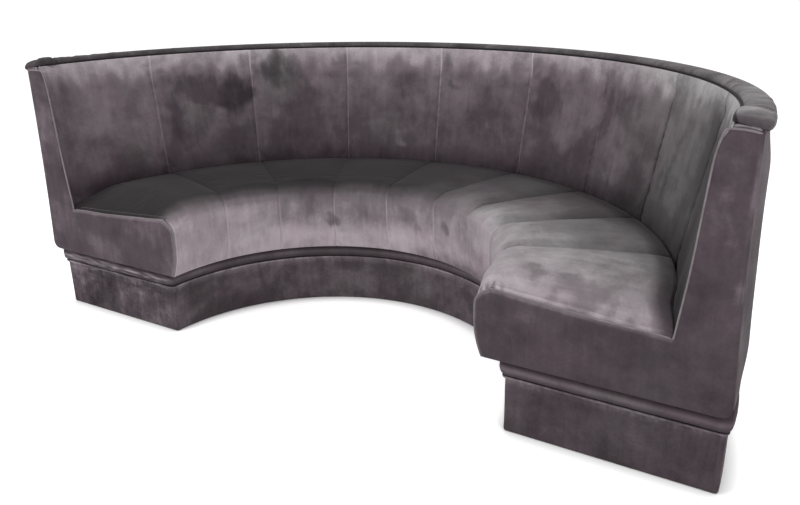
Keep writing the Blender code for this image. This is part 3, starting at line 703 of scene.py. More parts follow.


# Inside back

# Painted light along the top and up the back, painted shade at its foot and beside the right-hand end
BACK_TOP_LIGHT = 0.26
BACK_RISE_LIGHT = 0.12
BACK_FOOT_SHADE = -0.24
BACK_SIDE_SHADE = -0.30
# Painted shadow in the seams on the right, painted highlight along those further left
BACK_SEAM_ANGLES = (30, 50, 68)
BACK_SEAM_SHADE_AND_HIGHLIGHT = (-0.18, -0.08, 0.20)
BACK_MARKS = (
    (142.5, 0.770, 0.055, 0.090, 0.1, -0.30),
    (149.3, 0.790, 0.125, 0.040, 0.36, -0.19),
    (155.5, 0.690, 0.035, 0.100, 0.1, -0.16),
    (147.0, 0.665, 0.045, 0.050, 0.0, 0.09),
    (145.0, 0.580, 0.150, 0.060, 0.1, -0.08),
    (134.0, 0.850, 0.065, 0.050, -0.5, -0.26),
    (129.0, 0.790, 0.070, 0.055, -0.7, -0.13),
    (128.0, 0.620, 0.150, 0.120, 0.0, -0.12),
    (104.0, 0.800, 0.085, 0.060, 0.2, -0.09),
    (109.0, 0.620, 0.090, 0.050, 0.2, 0.06),
    (105.5, 0.560, 0.026, 0.016, 0.4, 0.18),
    (95.0, 0.790, 0.024, 0.034, 0.0, -0.12),
    (87.0, 0.700, 0.085, 0.090, 0.3, -0.09),
    (72.5, 0.770, 0.065, 0.080, 0.5, -0.18),
    (66.0, 0.650, 0.060, 0.060, 0.0, 0.08),
    (67.0, 0.540, 0.090, 0.050, 0.0, -0.06),
    (57.0, 0.750, 0.045, 0.100, -0.2, -0.11),
    (51.0, 0.770, 0.060, 0.060, 0.7, -0.12),
    (50.0, 0.590, 0.085, 0.050, 0.2, 0.12),
    (45.0, 0.560, 0.060, 0.060, 0.0, -0.08),
    (33.0, 0.700, 0.022, 0.140, 0.2, -0.09),
    (29.0, 0.580, 0.060, 0.080, 0.1, 0.07),
    (171.0, 0.590, 0.090, 0.060, 0.3, -0.06),
    (168.0, 0.650, 0.200, 0.160, 0.0, 0.08),
    (165.0, 0.740, 0.060, 0.040, 0.0, -0.06),
)
# Marks that look greyer: the last value is how much
GREY_MARKS = (
    (132.0, 0.830, 0.090, 0.080, -0.6, 0.70),
    (109.0, 0.600, 0.120, 0.050, 0.1, 0.35),
    (165.0, 0.560, 0.070, 0.060, 0.3, 0.45),
    (151.0, 0.700, 0.050, 0.060, 0.2, 0.40),
)


def back_section(full, rows):
    """Straight slope up the back, drawn towards the end line near the flat ends."""
    height = np.linspace(Z_DECK + 0.006, Z_COVER_TOP, 60)
    line = curve_through(END_LINE, 60)
    drawn = np.interp(height, line[:, 1], line[:, 0])
    straight = mix(R_CREASE, R_PIPING, np.clip((height - Z_CREASE) / (Z_PIPING - Z_CREASE), 0, None))
    return even(np.stack([mix(drawn, straight, full), height], axis=1), rows)


def back_base(angle, out, rows):
    """The inside back's skin before it settles, pressed in at the seams."""
    lines = np.stack([back_section(k, rows) for k in drawn_in(angle, out)])
    points = world(lines[..., 0], lines[..., 1], angle, out)
    number, share = channel_of(angle, out)
    share = np.where((number == 0) & (share < 0.5), 0.5, share)
    share = np.where((number == len(SEAM_ANGLES)) & (share > 0.5), 0.5, share)
    sink = FLUTE_DEPTH * (1 - pillow(share))[:, None]
    fade = rise(points[..., 2], Z_COVER_TOP, -FLUTE_FADE)
    return moved(points, -sink * fade)


def back_look(skin, angle, out):
    """Painted light along the top, painted shade down to the seat and beside the right-hand end."""
    degrees = np.degrees(angle)[:, None]
    level = (skin[..., 2] - Z_CREASE) / (Z_PIPING - Z_CREASE)
    # Painted light along the top and rising up the back
    ragged = level + 0.09 * rumple(skin * np.array([1.0, 1.0, 0.35]), 0.035) + 0.05 * rumple(skin, 0.09)
    tone = BACK_TOP_LIGHT * rise(ragged, 0.74, 0.22)
    tone += BACK_RISE_LIGHT * np.clip((level - 0.15) / 0.5, 0, 1)
    # Painted shade at the foot, by the seat
    right = 1 - rise(degrees, 15, 30)
    tone += BACK_FOOT_SHADE * (1 - smooth((level + 0.02) / (0.20 + 0.08 * right)))
    # Painted shade beside the right-hand end
    past = np.maximum(0, degrees - mix(11, 19, np.clip(level, 0, 1)))
    side = bell(past / 7)
    tone += BACK_SIDE_SHADE * side * rise(level, 1.0, -0.35)
    # Painted shadow in the seams on the right, painted highlight along those further left
    tone += np.interp(degrees, BACK_SEAM_ANGLES, BACK_SEAM_SHADE_AND_HIGHLIGHT) * groove(skin, angle)
    greyed = arc_marks(angle, out, skin[..., 2], R_PIPING, GREY_MARKS)
    grey = mix(0.08, 0.85, rise(degrees, 60, -30)) + greyed[..., 0] * greyed[..., 1]
    grey += 0.25 * rise(level, 0.84, 0.12)
    return velvet_look(skin.shape[:2], tone, 1.0, grey)


def build_back():
    """Inside back with its sewn grooves, closed behind."""
    skin, angle, out = settled_skin(back_base, BACK_COLUMNS, BACK_ROWS, SIM_BACK_ROWS, *BACK_PRESS)
    fade = rise(skin[..., 2], Z_COVER_TOP, -FLUTE_FADE)
    look = back_look(skin, angle, out)
    marks = arc_marks(angle, out, skin[..., 2], R_PIPING, BACK_MARKS)
    skin = moved(skin, -GROOVE_DEPTH * groove(skin, angle) * fade)
    edge = CAP_INNER - GAP
    places = [(edge, Z_COVER_TOP), (edge, Z_CAP - GAP), (PANEL_TOP - GAP, Z_CAP - GAP)]
    rows = hidden_rows([*places, (PANEL_FOOT - GAP, Z_DECK + GAP)], angle, out)
    number, _ = channel_of(angle, out)
    back = padded_piece("inside_back", skin, rows, row_direction(skin), number + BACK_PANELS, look, marks)
    declare(back, "velvet", "inside_back_cover", "back_foam", fill=0.85)
    return skin


# Cap and piping

CAP_INNER = R_PIPING + 0.0066
CAP_OUTER = R_OUTER_TOP + 0.0103
CAP_LIP = R_OUTER_TOP + GAP
R_CAP = (CAP_INNER + CAP_OUTER) / 2
Z_CAP = Z_TOP - 0.029
CAP_SKIRT = 0.010
CAP_ROWS = 48
# Step between columns, stretch at each end with closer ones, and how many of those
CAP_GRID = (0.010, 0.30, 90)
PIPING_GRID = (0.010, 0.12, 40)
# Painted shade on the far cap, painted sheen towards the right-hand end
CAP_SHADE_AND_SHEEN = (-0.07, 0.20)
CAP_FOLD_SHADOW = -0.35
# At the left-hand end and at the right-hand one
HOOD_POWERS = (6, 3)
HOOD_INWARD = (0.3, 1.0)
HOOD_OUTWARD = (-0.6, 0.3)
HOOD_LIGHT_AND_SHADE = (0.06, -0.22)
HOOD_LENGTH = 0.095
HOOD_PROUD = 0.004
HOOD_SWELL = 0.010
HOOD_TUCK = 0.005
HOOD_BOTTOM = (0.9312, 0.9190)
PIPING_RADIUS = 0.0033
CORD_SIDES = 10
CORD_LUMPS = 0.10
CORD_LUMP_SIZE = 0.011
# Tucks across the cap near each end: distance from the end, depth, half width, slant and stretch across
CAP_TUCKS = (
    (0.030, 0.0030, 0.006, 0.012, (0.15, 0.85)),
    (0.048, 0.0018, 0.007, -0.020, (0.30, 0.90)),
    (0.097, 0.0040, 0.006, 0.014, (-0.20, 0.80)),
    (0.128, 0.0024, 0.008, -0.040, (0.25, 1.20)),
    (0.170, 0.0018, 0.009, 0.050, (0.35, 1.10)),
    (0.235, 0.0022, 0.010, 0.060, (0.35, 1.10)),
    (0.330, 0.0018, 0.012, -0.070, (0.10, 0.80)),
    (0.480, 0.0026, 0.009, 0.050, (-0.10, 0.50)),
    (0.560, 0.0030, 0.009, 0.080, (-0.10, 0.65)),
)


def cap_section(rows):
    """Closed section: up the inner edge, over the crown, down the outer edge and back underneath."""
    top = [
        (CAP_INNER, Z_CAP + 0.001),
        (CAP_INNER, Z_TOP - 0.016),
        (CAP_INNER + 0.003, Z_TOP - 0.0075),
        (CAP_INNER + 0.012, Z_TOP - 0.0022),
        (R_CAP, Z_TOP),
        (CAP_OUTER - 0.014, Z_TOP - 0.0028),
        (CAP_OUTER - 0.004, Z_TOP - 0.0100),
        (CAP_OUTER, Z_TOP - 0.0200),
        (CAP_OUTER - 0.001, Z_CAP - CAP_SKIRT + 0.003),
        (CAP_OUTER - 0.004, Z_CAP - CAP_SKIRT),
    ]
    under = [(CAP_LIP, Z_CAP - CAP_SKIRT), (CAP_LIP, Z_CAP)]
    return np.vstack([curve_through(top, rows), under])


def hood_swell(away):
    """How far the hood bulges inwards over the piping, at a distance from its tip."""
    s = np.clip(1 - away / HOOD_LENGTH, 0, 1)
    return HOOD_SWELL * smooth(s / 0.6) * (1 - 0.55 * rise(s, 0.75, 0.25))


def cap_tucks(away, across):
    """How far the cap's cloth stands up beside its tucks, less than 0 in them."""
    lift = 0.0016 * bell((away - 0.064) / 0.018) * np.ones_like(across)
    for place, depth, width, slant, (first, last) in CAP_TUCKS:
        line = (away - place - slant * (across - 0.4)) / width
        share = rise(across, first, 0.25) * rise(across, last, -0.25)
        lift += depth * share * (0.6 * bell(line - 1.6) - bell(line))
    lift[:, -2:] = 0
    return lift


def build_cap():
    """Padded strip over the top of the back, whose ends swell and fold down over the end panels."""
    angle, out, away = even_stations(R_CAP, END_REACH + HOOD_PROUD, *CAP_GRID)
    section = cap_section(CAP_ROWS)
    away = away[:, None]
    s = np.clip(1 - away / HOOD_LENGTH, 0, 1)
    across = np.clip((section[:, 0] - CAP_INNER) / (CAP_OUTER - CAP_INNER), 0, 1)[None, :]
    left = angle[:, None] > np.pi / 2
    fall = np.sqrt(1 - s ** np.where(left, *HOOD_POWERS))
    inner = CAP_INNER - np.where(left, *HOOD_INWARD) * hood_swell(away) + HOOD_TUCK * s**8
    outer = CAP_OUTER + np.where(left, *HOOD_OUTWARD) * hood_swell(away) - HOOD_TUCK * s**8
    radius = mix(inner, outer, across)
    skirt = Z_CAP - CAP_SKIRT * rise(across, 0.8, 0.2)
    low = mix(skirt, mix(*HOOD_BOTTOM, across), smooth(4 * s))
    height = low + (section[:, 1] - skirt) * fall
    tucked = out[:, None] - HOOD_TUCK * smooth(1 - fall / 0.4)
    points = world(radius, height, angle, np.zeros(len(angle)))
    points[..., 1] -= tucked
    lift = cap_tucks(away, across)
    points = moved(points, lift)
    degrees = np.degrees(angle)[:, None]
    # Painted sheen towards the right, and painted light and shade over the tucks
    tone = mix(*CAP_SHADE_AND_SHEEN, smooth(1 - degrees / 70)) + np.clip(40.0 * lift, -0.16, 0.08)
    # Painted light on the left-hand hood's face, painted shade on the right-hand one
    front = smooth(1 - away / 0.034)
    tone += front * np.where(left, *HOOD_LIGHT_AND_SHADE)
    # Painted shadow of a fold along the right-hand hood's inner lower edge
    hood_fold_shadow = rise(across, 0.09, -0.06) * rise(away, 0.085, -0.02)
    tone += np.where(left, 0.0, CAP_FOLD_SHADOW) * hood_fold_shadow
    look = velvet_look(points.shape[:2], tone, 1.8, 0.75 - 0.4 * front)
    cap = cloth_piece("cap", points, CAP_PANEL, look)
    return declare(cap, "velvet", "top_cap", fill=0.8)


def tube(path, radius, sides):
    """Points of a tube along a path, with a radius at each of the path's points."""
    path = np.asarray(path, float)
    way = unit(np.gradient(path, axis=0))
    side = [np.cross(way[0], (0.31, 0.17, 0.94))]
    for step in way:
        side.append(unit(side[-1] - step * (side[-1] @ step)))
    side = np.array(side[1:])
    other = np.cross(way, side)
    turn = 2 * np.pi * np.arange(sides)[:, None] / sides
    ring = side[:, None] * np.cos(turn) + other[:, None] * np.sin(turn)
    return path[:, None] + ring * np.asarray(radius)[:, None, None]


def cord(name, path, radius, panel, tone=0.0):
    """Covered cord along a path, with slight lumps where the cloth is gathered round it."""
    path = np.asarray(path, float)
    step = np.arange(len(path))
    taper = np.minimum(1.0, 0.4 + 0.2 * np.minimum(step, step[::-1]))
    lumps = 1 + CORD_LUMPS * rumple(path, CORD_LUMP_SIZE)
    points = tube(path, radius * lumps * taper, CORD_SIDES)
    look = velvet_look(points.shape[:2], tone, 0.6, 0.5)
    return cloth_piece(name, points, panel, look, turned=True)


def build_piping():
    """Dark piping between the cap and the inside back, with its ends tucked under the hoods."""
    angle, out, away = even_stations(R_PIPING, END_REACH - 0.004, *PIPING_GRID)
    away = away + HOOD_PROUD
    under = rise(away, 0.060, -0.030)
    radius = R_PIPING + 0.0030 - hood_swell(away) + 0.014 * under
    height = Z_PIPING + 0.0010 * smooth(1 - away / HOOD_LENGTH)
    path = world(radius[:, None], height[:, None], angle, out)[:, 0]
    return declare(cord("piping", path, PIPING_RADIUS, PIPING_PANEL), "piping_velvet", "cap_piping")


# Flat ends

PANEL_STEP = 0.012
PANEL_RIM = (0.0010, 0.0024, 0.0045, 0.0070, 0.0100, 0.0140)
PANEL_ROUND = 0.013
PANEL_CROWN = 0.003
PANEL_RUMPLE = 0.0011
PANEL_TOP_EDGE = ((1.1520, 0.9262), (1.1780, 0.9262), (1.2020, 0.9222))
UPPER_WELT = ((1.1490, 0.9235), (1.1600, 0.9258), (1.1800, 0.9250), (1.2040, 0.9200))
LOWER_WELT = ((1.1310, 0.9050), (1.1390, 0.9140), (1.1520, 0.9172), (1.1800, 0.9163), (1.2050, 0.9120))
WELT_RADIUS = 0.0030
# Painted highlight along each welt
WELT_HIGHLIGHTS = (0.24, 0.26, 0.28)
END_TOP_TONE = 0.02
END_FOOT_TONE = -0.10
RIM_WEAR_AND_SHEEN = 0.16
LIP_SHEEN = 0.22
# The first value of these marks is a radius
PANEL_MARKS = (
    (1.183, 0.700, 0.010, 0.100, 0.05, 0.07),
    (1.150, 0.600, 0.034, 0.012, 0.0, 0.05),
    (1.140, 0.760, 0.040, 0.016, 0.1, 0.05),
    (1.170, 0.830, 0.060, 0.060, 0.0, -0.06),
    (1.130, 0.560, 0.050, 0.120, 0.0, -0.06),
    (0.900, 0.350, 0.120, 0.030, -0.1, -0.06),
    (0.720, 0.380, 0.080, 0.030, 0.2, 0.06),
    (1.050, 0.320, 0.150, 0.050, 0.1, 0.05),
    (0.650, 0.300, 0.040, 0.040, 0.0, -0.07),
)


def outer_radius(height):
    t = (Z_RAIL_TOP - height) / (Z_RAIL_TOP - Z_SEAT)
    return R_OUTER_TOP + OUTER_FLARE * t * t


def outer_section(rows):
    """The outside back from its rounded bottom corner up to the cap."""
    foot = Z_SEAT + FOOT_ROUND
    centre = (outer_radius(foot) - FOOT_ROUND, foot)
    heights = np.linspace(foot, Z_RAIL_TOP, 24)[1:]
    line = arc_points(centre, FOOT_ROUND, -90, 0, 10) + [(outer_radius(z), z) for z in heights]
    return even(line, rows)


def end_edge(seat_skin, back_skin, column):
    """Lines in (radius, height) where the covers end: over the seat and up the inside back."""
    over = np.abs(seat_skin[column][:, [0, 2]])
    up = np.abs(back_skin[column][:, [0, 2]])
    behind = np.interp(over[:, 1], up[:, 1], up[:, 0])
    meet = np.flatnonzero(over[:, 0] < behind - 0.004)[-1]
    over = over[: meet + 1]
    over = over[: int(np.argmax(over[:, 0])) + 1]
    over[0, 1] = Z_SEAT
    up = up[(up[:, 1] > over[-1, 1] + 0.003) & (up[:, 1] < END_LINE[-1][1])]
    return even(over, 90), even(up, 70)


def distance_to(points, line):
    """Least distance from points to a closed line."""
    best = np.full(len(points), np.inf)
    for a, b in zip(line, np.roll(line, -1, axis=0)):
        way = b - a
        t = np.clip(((points - a) @ way) / max(way @ way, 1e-12), 0, 1)
        best = np.minimum(best, np.linalg.norm(points - a - t[:, None] * way, axis=1))
    return best


def inside(points, line):
    """True for points that lie within a closed line."""
    hit = np.zeros(len(points), bool)
    for a, b in zip(line, np.roll(line, -1, axis=0)):
        spans = (a[1] > points[:, 1]) != (b[1] > points[:, 1])
        cross = (b[0] - a[0]) * (points[:, 1] - a[1]) / (b[1] - a[1] + 1e-15) + a[0]
        hit ^= spans & (points[:, 0] < cross)
    return hit


def panel_points(line):
    """Points that fill a line that runs clockwise: rows close to its rim, then an even field."""
    ahead = unit(np.roll(line, -1, axis=0) - np.roll(line, 1, axis=0))
    inward = np.stack([ahead[:, 1], -ahead[:, 0]], axis=1)
    found = []
    for d in PANEL_RIM:
        ring = line + inward * d
        found.append(ring[inside(ring, line) & (distance_to(ring, line) > 0.93 * d)])
    low, high = line.min(axis=0), line.max(axis=0)
    across, up = np.meshgrid(np.arange(low[0], high[0], PANEL_STEP), np.arange(low[1], high[1], PANEL_STEP))
    across[1::2] += PANEL_STEP / 2
    field = np.stack([across.ravel(), up.ravel()], axis=1)
    field = field[inside(field, line)]
    found.append(field[distance_to(field, line) > PANEL_RIM[-1] + 0.4 * PANEL_STEP])
    return np.vstack(found)


def panel_y(plan, line, side):
    """How far forward a panel's face stands at its points: rounded at the rim, slightly crowned."""
    away = distance_to(plan, line)
    near = np.clip(away / PANEL_ROUND, 0, 1)
    depth = (END_REACH - COVER_REACH - GAP) * np.sqrt(1 - (1 - near) ** 2)
    depth += PANEL_CROWN * smooth(away / 0.07)
    spots = np.column_stack([plan, np.full(len(plan), float(side))])
    depth += PANEL_RUMPLE * rumple(spots, 0.11) * smooth(away / 0.03)
    return ARC_Y - COVER_REACH - GAP - depth


def panel_look(side, plan, points, over, outer):
    """Darker at the foot of the right-hand panel, with painted sheen beside the seat and wear with painted
    sheen along the outer edge.
    """
    foot = END_FOOT_TONE if side > 0 else 0.0
    tone = mix(foot, END_TOP_TONE, rise(plan[:, 1], 0.32, 0.45))
    # Painted sheen on the rounded rim beside the seat
    beside = distance_to(plan, np.vstack([over, over[::-1]]))
    tone += LIP_SHEEN * smooth(1 - beside / 0.011)
    # Wear with painted sheen along the outer edge
    rubbed_sheen = smooth(rumple(points, 0.05) + 0.5) * rise(plan[:, 1], 0.45, 0.15)
    tone += RIM_WEAR_AND_SHEEN * rubbed_sheen * smooth(1 - distance_to(plan, outer) / 0.010)
    return velvet_look(plan.shape[:1], tone, 1.2, 0.10)


def build_end(side, name, seat_skin, back_skin):
    """Soft L-shaped panel over a flat end, its rim rounded back to the covers, with its welts."""
    over, up = end_edge(seat_skin, back_skin, 0 if side > 0 else -1)
    outer = outer_section(70)[::-1]
    top = curve_through([up[-1], *PANEL_TOP_EDGE, outer[0]], 24)
    bottom = even([outer[-1], over[0]], 60)
    line = np.vstack([over, up, top[1:-1], outer, bottom[1:-1]])
    flat = np.vstack([line, panel_points(line)])
    edges = [(i, (i + 1) % len(line)) for i in range(len(line))]
    plan, _, triangles, *_ = geometry.delaunay_2d_cdt([Vector(p) for p in flat], edges, [], 1, 1e-6)
    plan = np.array([list(v) for v in plan])
    points = np.stack([side * plan[:, 0], panel_y(plan, line, side), plan[:, 1]], axis=1)
    rim = np.flatnonzero(distance_to(plan, line) < 1e-6)
    order = sorted(rim.tolist(), key=lambda i: int(np.argmin(np.linalg.norm(line - plan[i], axis=1))))
    faces = [tuple(face) for face in triangles] + [tuple(reversed(order))]
    if side < 0:
        faces = [tuple(reversed(face)) for face in faces]
    coords = np.column_stack([plan, np.full(len(plan), END_PANELS + side)])
    nap = np.broadcast_to(DOWN, points.shape)
    look = panel_look(side, plan, points, over, outer)
    marks = brushed_marks(plan[:, 0], plan[:, 1], PANEL_MARKS)
    panel = new_object(f"end_panel_{name}", points, faces, coords, nap, look, marks)
    declare(panel, "velvet", f"end_cover_{name}", fill=0.6)
    build_welts(side, name, over, up, line)


def out_of(line, distance):
    """The line moved to its left."""
    way = unit(np.gradient(line, axis=0))
    return line + np.stack([-way[:, 1], way[:, 0]], axis=1) * distance


def build_welts(side, name, over, up, rim):
    """Welt along the panel's inner edge and across its top, and a second one above it under the cap."""
    along = on_panel(out_of(even(over, 200), 0.3 * WELT_RADIUS), rim, side)
    below = up[up[:, 1] < LOWER_WELT[0][1] - 0.012]
    climb = np.vstack([over[-1], below[::6], LOWER_WELT])
    upright = on_panel(out_of(curve_through(climb, 240), 0.4 * WELT_RADIUS), rim, side)
    upper = on_panel(curve_through(UPPER_WELT, 40), rim, side)
    # Each welt is given a painted highlight
    welt = cord(f"welt_{name}", along, 0.9 * WELT_RADIUS, WELT_PANELS + side, WELT_HIGHLIGHTS[0])
    declare(welt, "velvet", f"end_welt_{name}")
    welt = cord(f"back_welt_{name}", upright, WELT_RADIUS, BACK_WELT_PANELS + side, WELT_HIGHLIGHTS[1])
    declare(welt, "velvet")
    welt = cord(f"top_welt_{name}", upper, 1.3 * WELT_RADIUS, TOP_WELT_PANELS + side, WELT_HIGHLIGHTS[2])
    declare(welt, "velvet")


def on_panel(path, rim, side):
    """Places on a panel's face for a path given in (radius, height)."""
    y = panel_y(path, rim, side)
    beyond = ~inside(path, rim)
    y[beyond] = ARC_Y - COVER_REACH - 0.0008
    return np.stack([side * path[:, 0], y, path[:, 1]], axis=1)


# Outside back

OUTER_ROWS = 60
OUTER_GRID = (0.014, 0.12, 24)
OUTER_COVER = 0.005
OUTER_SEAMS = (58.5, 118.0)
OUTER_SWELL = 0.012
OUTER_RUMPLE = 0.0014
OUTER_END_DEPTH = 0.0025
OUTER_SEAM_DEPTH = 0.0030
OUTER_TONE = 0.085
OUTER_FOOT_TONE = -0.08
OUTER_SEAM_HIGHLIGHT = 0.14
OUTER_MARKS = (
    (24.0, 0.620, 0.120, 0.090, 0.3, -0.10),
    (44.0, 0.780, 0.150, 0.050, -0.2, 0.09),
    (52.0, 0.480, 0.060, 0.130, 0.1, 0.08),
    (75.0, 0.650, 0.180, 0.060, 0.3, -0.12),
    (88.0, 0.800, 0.090, 0.050, 0.0, -0.08),
    (97.0, 0.430, 0.140, 0.070, -0.2, 0.09),
    (112.0, 0.700, 0.060, 0.130, 0.2, 0.10),
    (130.0, 0.560, 0.160, 0.080, 0.2, -0.11),
    (146.0, 0.800, 0.130, 0.050, -0.2, 0.08),
    (162.0, 0.500, 0.080, 0.120, 0.1, 0.07),
)


def build_outside_back():
    """Lightly padded outside back in three widths of velvet, drawn in along the flat ends."""
    angle, out, away = even_stations(R_OUTER_TOP, COVER_REACH, *OUTER_GRID)
    line = outer_section(OUTER_ROWS)
    points = world(line[None, :, 0], line[None, :, 1], angle, out)
    height = line[None, :, 1]
    swell = smooth((Z_RAIL_TOP - 0.010 - height) / 0.10) * smooth((height - Z_SEAT - 0.020) / 0.14)
    lift = OUTER_SWELL * swell * smooth(away / 0.10)[:, None]
    lift -= OUTER_END_DEPTH * bell(away / 0.006)[:, None]
    lift += OUTER_RUMPLE * rumple(points, 0.20)
    place = angle[:, None] * R_OUTER_TOP
    seam_near = np.zeros(points.shape[:2])
    for seam in np.radians(OUTER_SEAMS):
        seam_near = np.maximum(seam_near, bell((place - seam * R_OUTER_TOP) / 0.010))
    lift -= OUTER_SEAM_DEPTH * seam_near
    points = moved(points, -lift)
    raised = np.where(height < Z_SEAT + 0.004, OUTER_COVER, 0)
    inner = world(line[None, :, 0] - OUTER_COVER, height + raised, angle, out)
    panel = np.searchsorted(np.radians(OUTER_SEAMS), angle) + OUTER_PANELS
    skin = points[:, ::-1]
    foot = 1 - rise(skin[..., 2], 0.25, 0.5)
    # Darker towards the foot, with a painted highlight along the seams
    tone = OUTER_TONE + OUTER_FOOT_TONE * foot + OUTER_SEAM_HIGHLIGHT * seam_near**4
    look = velvet_look(skin.shape[:2], tone, 1.0, 0.45)
    marks = arc_marks(angle, out, skin[..., 2], R_OUTER_TOP, OUTER_MARKS)
    piece = padded_piece("outside_back", skin, inner, row_direction(skin), panel, look, marks)
    return declare(piece, "velvet", "outside_back_cover", fill=0.4)


# Plinth, bead and dust cover

PLINTH_CORNER = 0.010
PLINTH_ROWS = 30
PLINTH_WALL = 0.003
PLINTH_EDGE = 0.004
PLINTH_RUMPLE = 0.0011
PLINTH_GATHER = 0.0013
PLINTH_GATHER_SHADING = 80.0
PLINTH_TONE = 0.02
PLINTH_END_TONE = -0.07
PLINTH_LIP_HIGHLIGHT = 0.12
PLINTH_TOP_HIGHLIGHT = 0.15
PLINTH_TUCK_SHADOW = -0.30
PLINTH_WRINKLE_SHADING = 0.22
# Lip along the plinth's top: how far out, and height above the plinth
PLINTH_LIP = (
    (0.0012, -0.0040),
    (0.0040, -0.0012),
    (0.0074, 0.0018),
    (0.0092, 0.0045),
    (0.0090, 0.0068),
    (0.0072, 0.0082),
    (0.0054, 0.0076),
    (0.0050, 0.0030),
    (0.0046, 0.0008),
    (0.0000, 0.0000),
)
BEAD_PROJECTION = 0.018
BEAD_BACK = 0.012
BEAD_RISE = 0.0065
BEAD_ROWS = 26
BEAD_LUMPS = 0.0013
BEAD_RUMPLE = 0.0007
BEAD_WRINKLES = 0.0024
BEAD_TONE = -0.05
BEAD_HIGHLIGHT = 0.14
BEAD_TOP_SHADOW = -0.16
BEAD_FOOT_SHADE = -0.12
BEAD_NECK_SHADOW = -0.22
BEAD_LEFT_TONE = 0.10
BEAD_WRINKLE_SHADING = 0.35
# Section of the bead: how far out, and share of its height
BEAD_SECTION = (
    (0.0000, 0.00),
    (0.0034, 0.02),
    (0.0042, 0.11),
    (0.0060, 0.165),
    (0.0115, 0.215),
    (0.0158, 0.31),
    (0.0180, 0.46),
    (0.0180, 0.60),
    (0.0165, 0.75),
    (0.0120, 0.89),
    (0.0060, 0.965),
    (0.0000, 0.99),
)
LOOP_STEP = 0.008
FLAT_STEP = 0.004
PLINTH_DROP = 0.0038
DUST_ROWS = 12
DUST_COLUMNS = 160
DUST_SAG = 0.0005
DUST_THICKNESS = 0.0009


def loop_corner(radius, side, corner):
    """Rounded corner between the flat right-hand end and an arc, in (x, y) from the arc's centre."""
    y = PLINTH_CORNER - PLINTH_REACH
    x = math.sqrt((radius - side * corner) ** 2 - y**2)
    turn = math.degrees(math.atan2(y, x))
    if side > 0:
        return arc_points((x, y), corner, -90, turn, 9)
    return arc_points((x, y), corner, 270, 180 + turn, 9)


def mirrored(points):
    return [(-x, y) for x, y in reversed(points)]


def sweep(radius, start, nominal):
    """Points from a corner on the right to its twin on the left, as many for every line of a loop."""
    first = math.degrees(math.atan2(start[1], start[0]))
    return arc_points((0, 0), radius, first, 180 - first, int(np.pi * nominal / LOOP_STEP))[1:-1]


def loop_line(out):
    """Closed plan line round the plinth, moved outwards, in (x, y) from the arc's centre."""
    corner = PLINTH_CORNER + out
    outer = R_PLINTH_BACK + (out * BEAD_BACK / BEAD_PROJECTION if out > 0 else out)
    inner = R_PLINTH - out
    back = loop_corner(outer, 1, corner)
    front = loop_corner(inner, -1, corner)[::-1]
    long_way = sweep(outer, back[-1], R_PLINTH_BACK)
    short_way = sweep(inner, front[0], R_PLINTH)[::-1]
    count = int((R_PLINTH_BACK - R_PLINTH) / FLAT_STEP)
    right = np.linspace(front[-1], back[0], count)[1:-1].tolist()
    left = mirrored(right)
    return np.array(back + long_way + mirrored(back) + left + mirrored(front) + short_way + front + right)


def loop_points(section):
    """Points of a closed section of (outward, height) carried round the plinth."""
    columns = []
    for out, height in section:
        line = loop_line(out)
        columns.append(np.column_stack([line[:, 0], line[:, 1] + ARC_Y, np.full(len(line), height)]))
    return np.stack(columns, axis=1)


def at_left_end(points):
    """1 on the flat left-hand end, where the velvet was pulled less evenly."""
    flat = rise(points[..., 1], ARC_Y - PLINTH_REACH + 0.020, -0.01)
    return flat * rise(-points[..., 0], 0.60, 0.10)


def build_plinth():
    """Velvet drawn tight round the plinth, with a lip along its top edge and small gathers under that."""
    top = Z_PLINTH_TOP
    low = Z_PLINTH - PLINTH_DROP
    section = [(-PLINTH_WALL, Z_PLINTH), (-0.8 * PLINTH_WALL, low), (-0.0008, low + 0.3 * PLINTH_EDGE)]
    section += [(0.0, z) for z in np.linspace(low + PLINTH_EDGE, top - 0.007, PLINTH_ROWS)]
    section += [(out, top + up) for out, up in PLINTH_LIP]
    section += [(-PLINTH_WALL, top)]
    points = loop_points(section)
    height = points[..., 2]
    above = height - top
    lift = PLINTH_RUMPLE * rumple(points, 0.13)
    stretched = points * np.array([1.0, 1.0, 0.12])
    gathers = PLINTH_GATHER * rumple(stretched, 0.010) * smooth(1 + above / 0.035)
    lift += gathers * smooth(rumple(points, 0.3) + 0.6)
    lift = lift * rise(height, Z_PLINTH, 0.02)
    lift[:, 0] = 0
    lift[:, -5:] = 0
    points = moved(points, -lift)
    # Painted highlight on the lip, fading down below it, and painted shadow where the lip tucks under the
    # bead
    tone = PLINTH_LIP_HIGHLIGHT * bell((above - 0.0035) / 0.0050) + PLINTH_TOP_HIGHLIGHT * smooth(1 + above / 0.026)
    tone += PLINTH_TUCK_SHADOW * rise(above, 0.0070, 0.002)
    flat_end = smooth((ARC_Y - PLINTH_REACH + 0.010 - points[..., 1]) / 0.006)
    # Wrinkles at the left-hand end that are only painted light and shade, with no change of shape
    wrinkles = rumple(points * np.array([0.16, 1.0, 1.0]), 0.011) * at_left_end(points)
    # Darker on the flat end, with painted light and shade that follow the gathers
    tone += mix(PLINTH_TONE, PLINTH_END_TONE, flat_end) + PLINTH_GATHER_SHADING * gathers
    tone += PLINTH_WRINKLE_SHADING * wrinkles * smooth(1 + above / 0.09)
    look = velvet_look(points.shape[:2], tone, 1.6 + 1.3 * at_left_end(points), 0.18)
    piece = cloth_piece("plinth", points, PLINTH_PANEL, look, DOWN, round_columns=True, turned=True)
    return declare(piece, "velvet", "plinth_cover", fill=0.2)


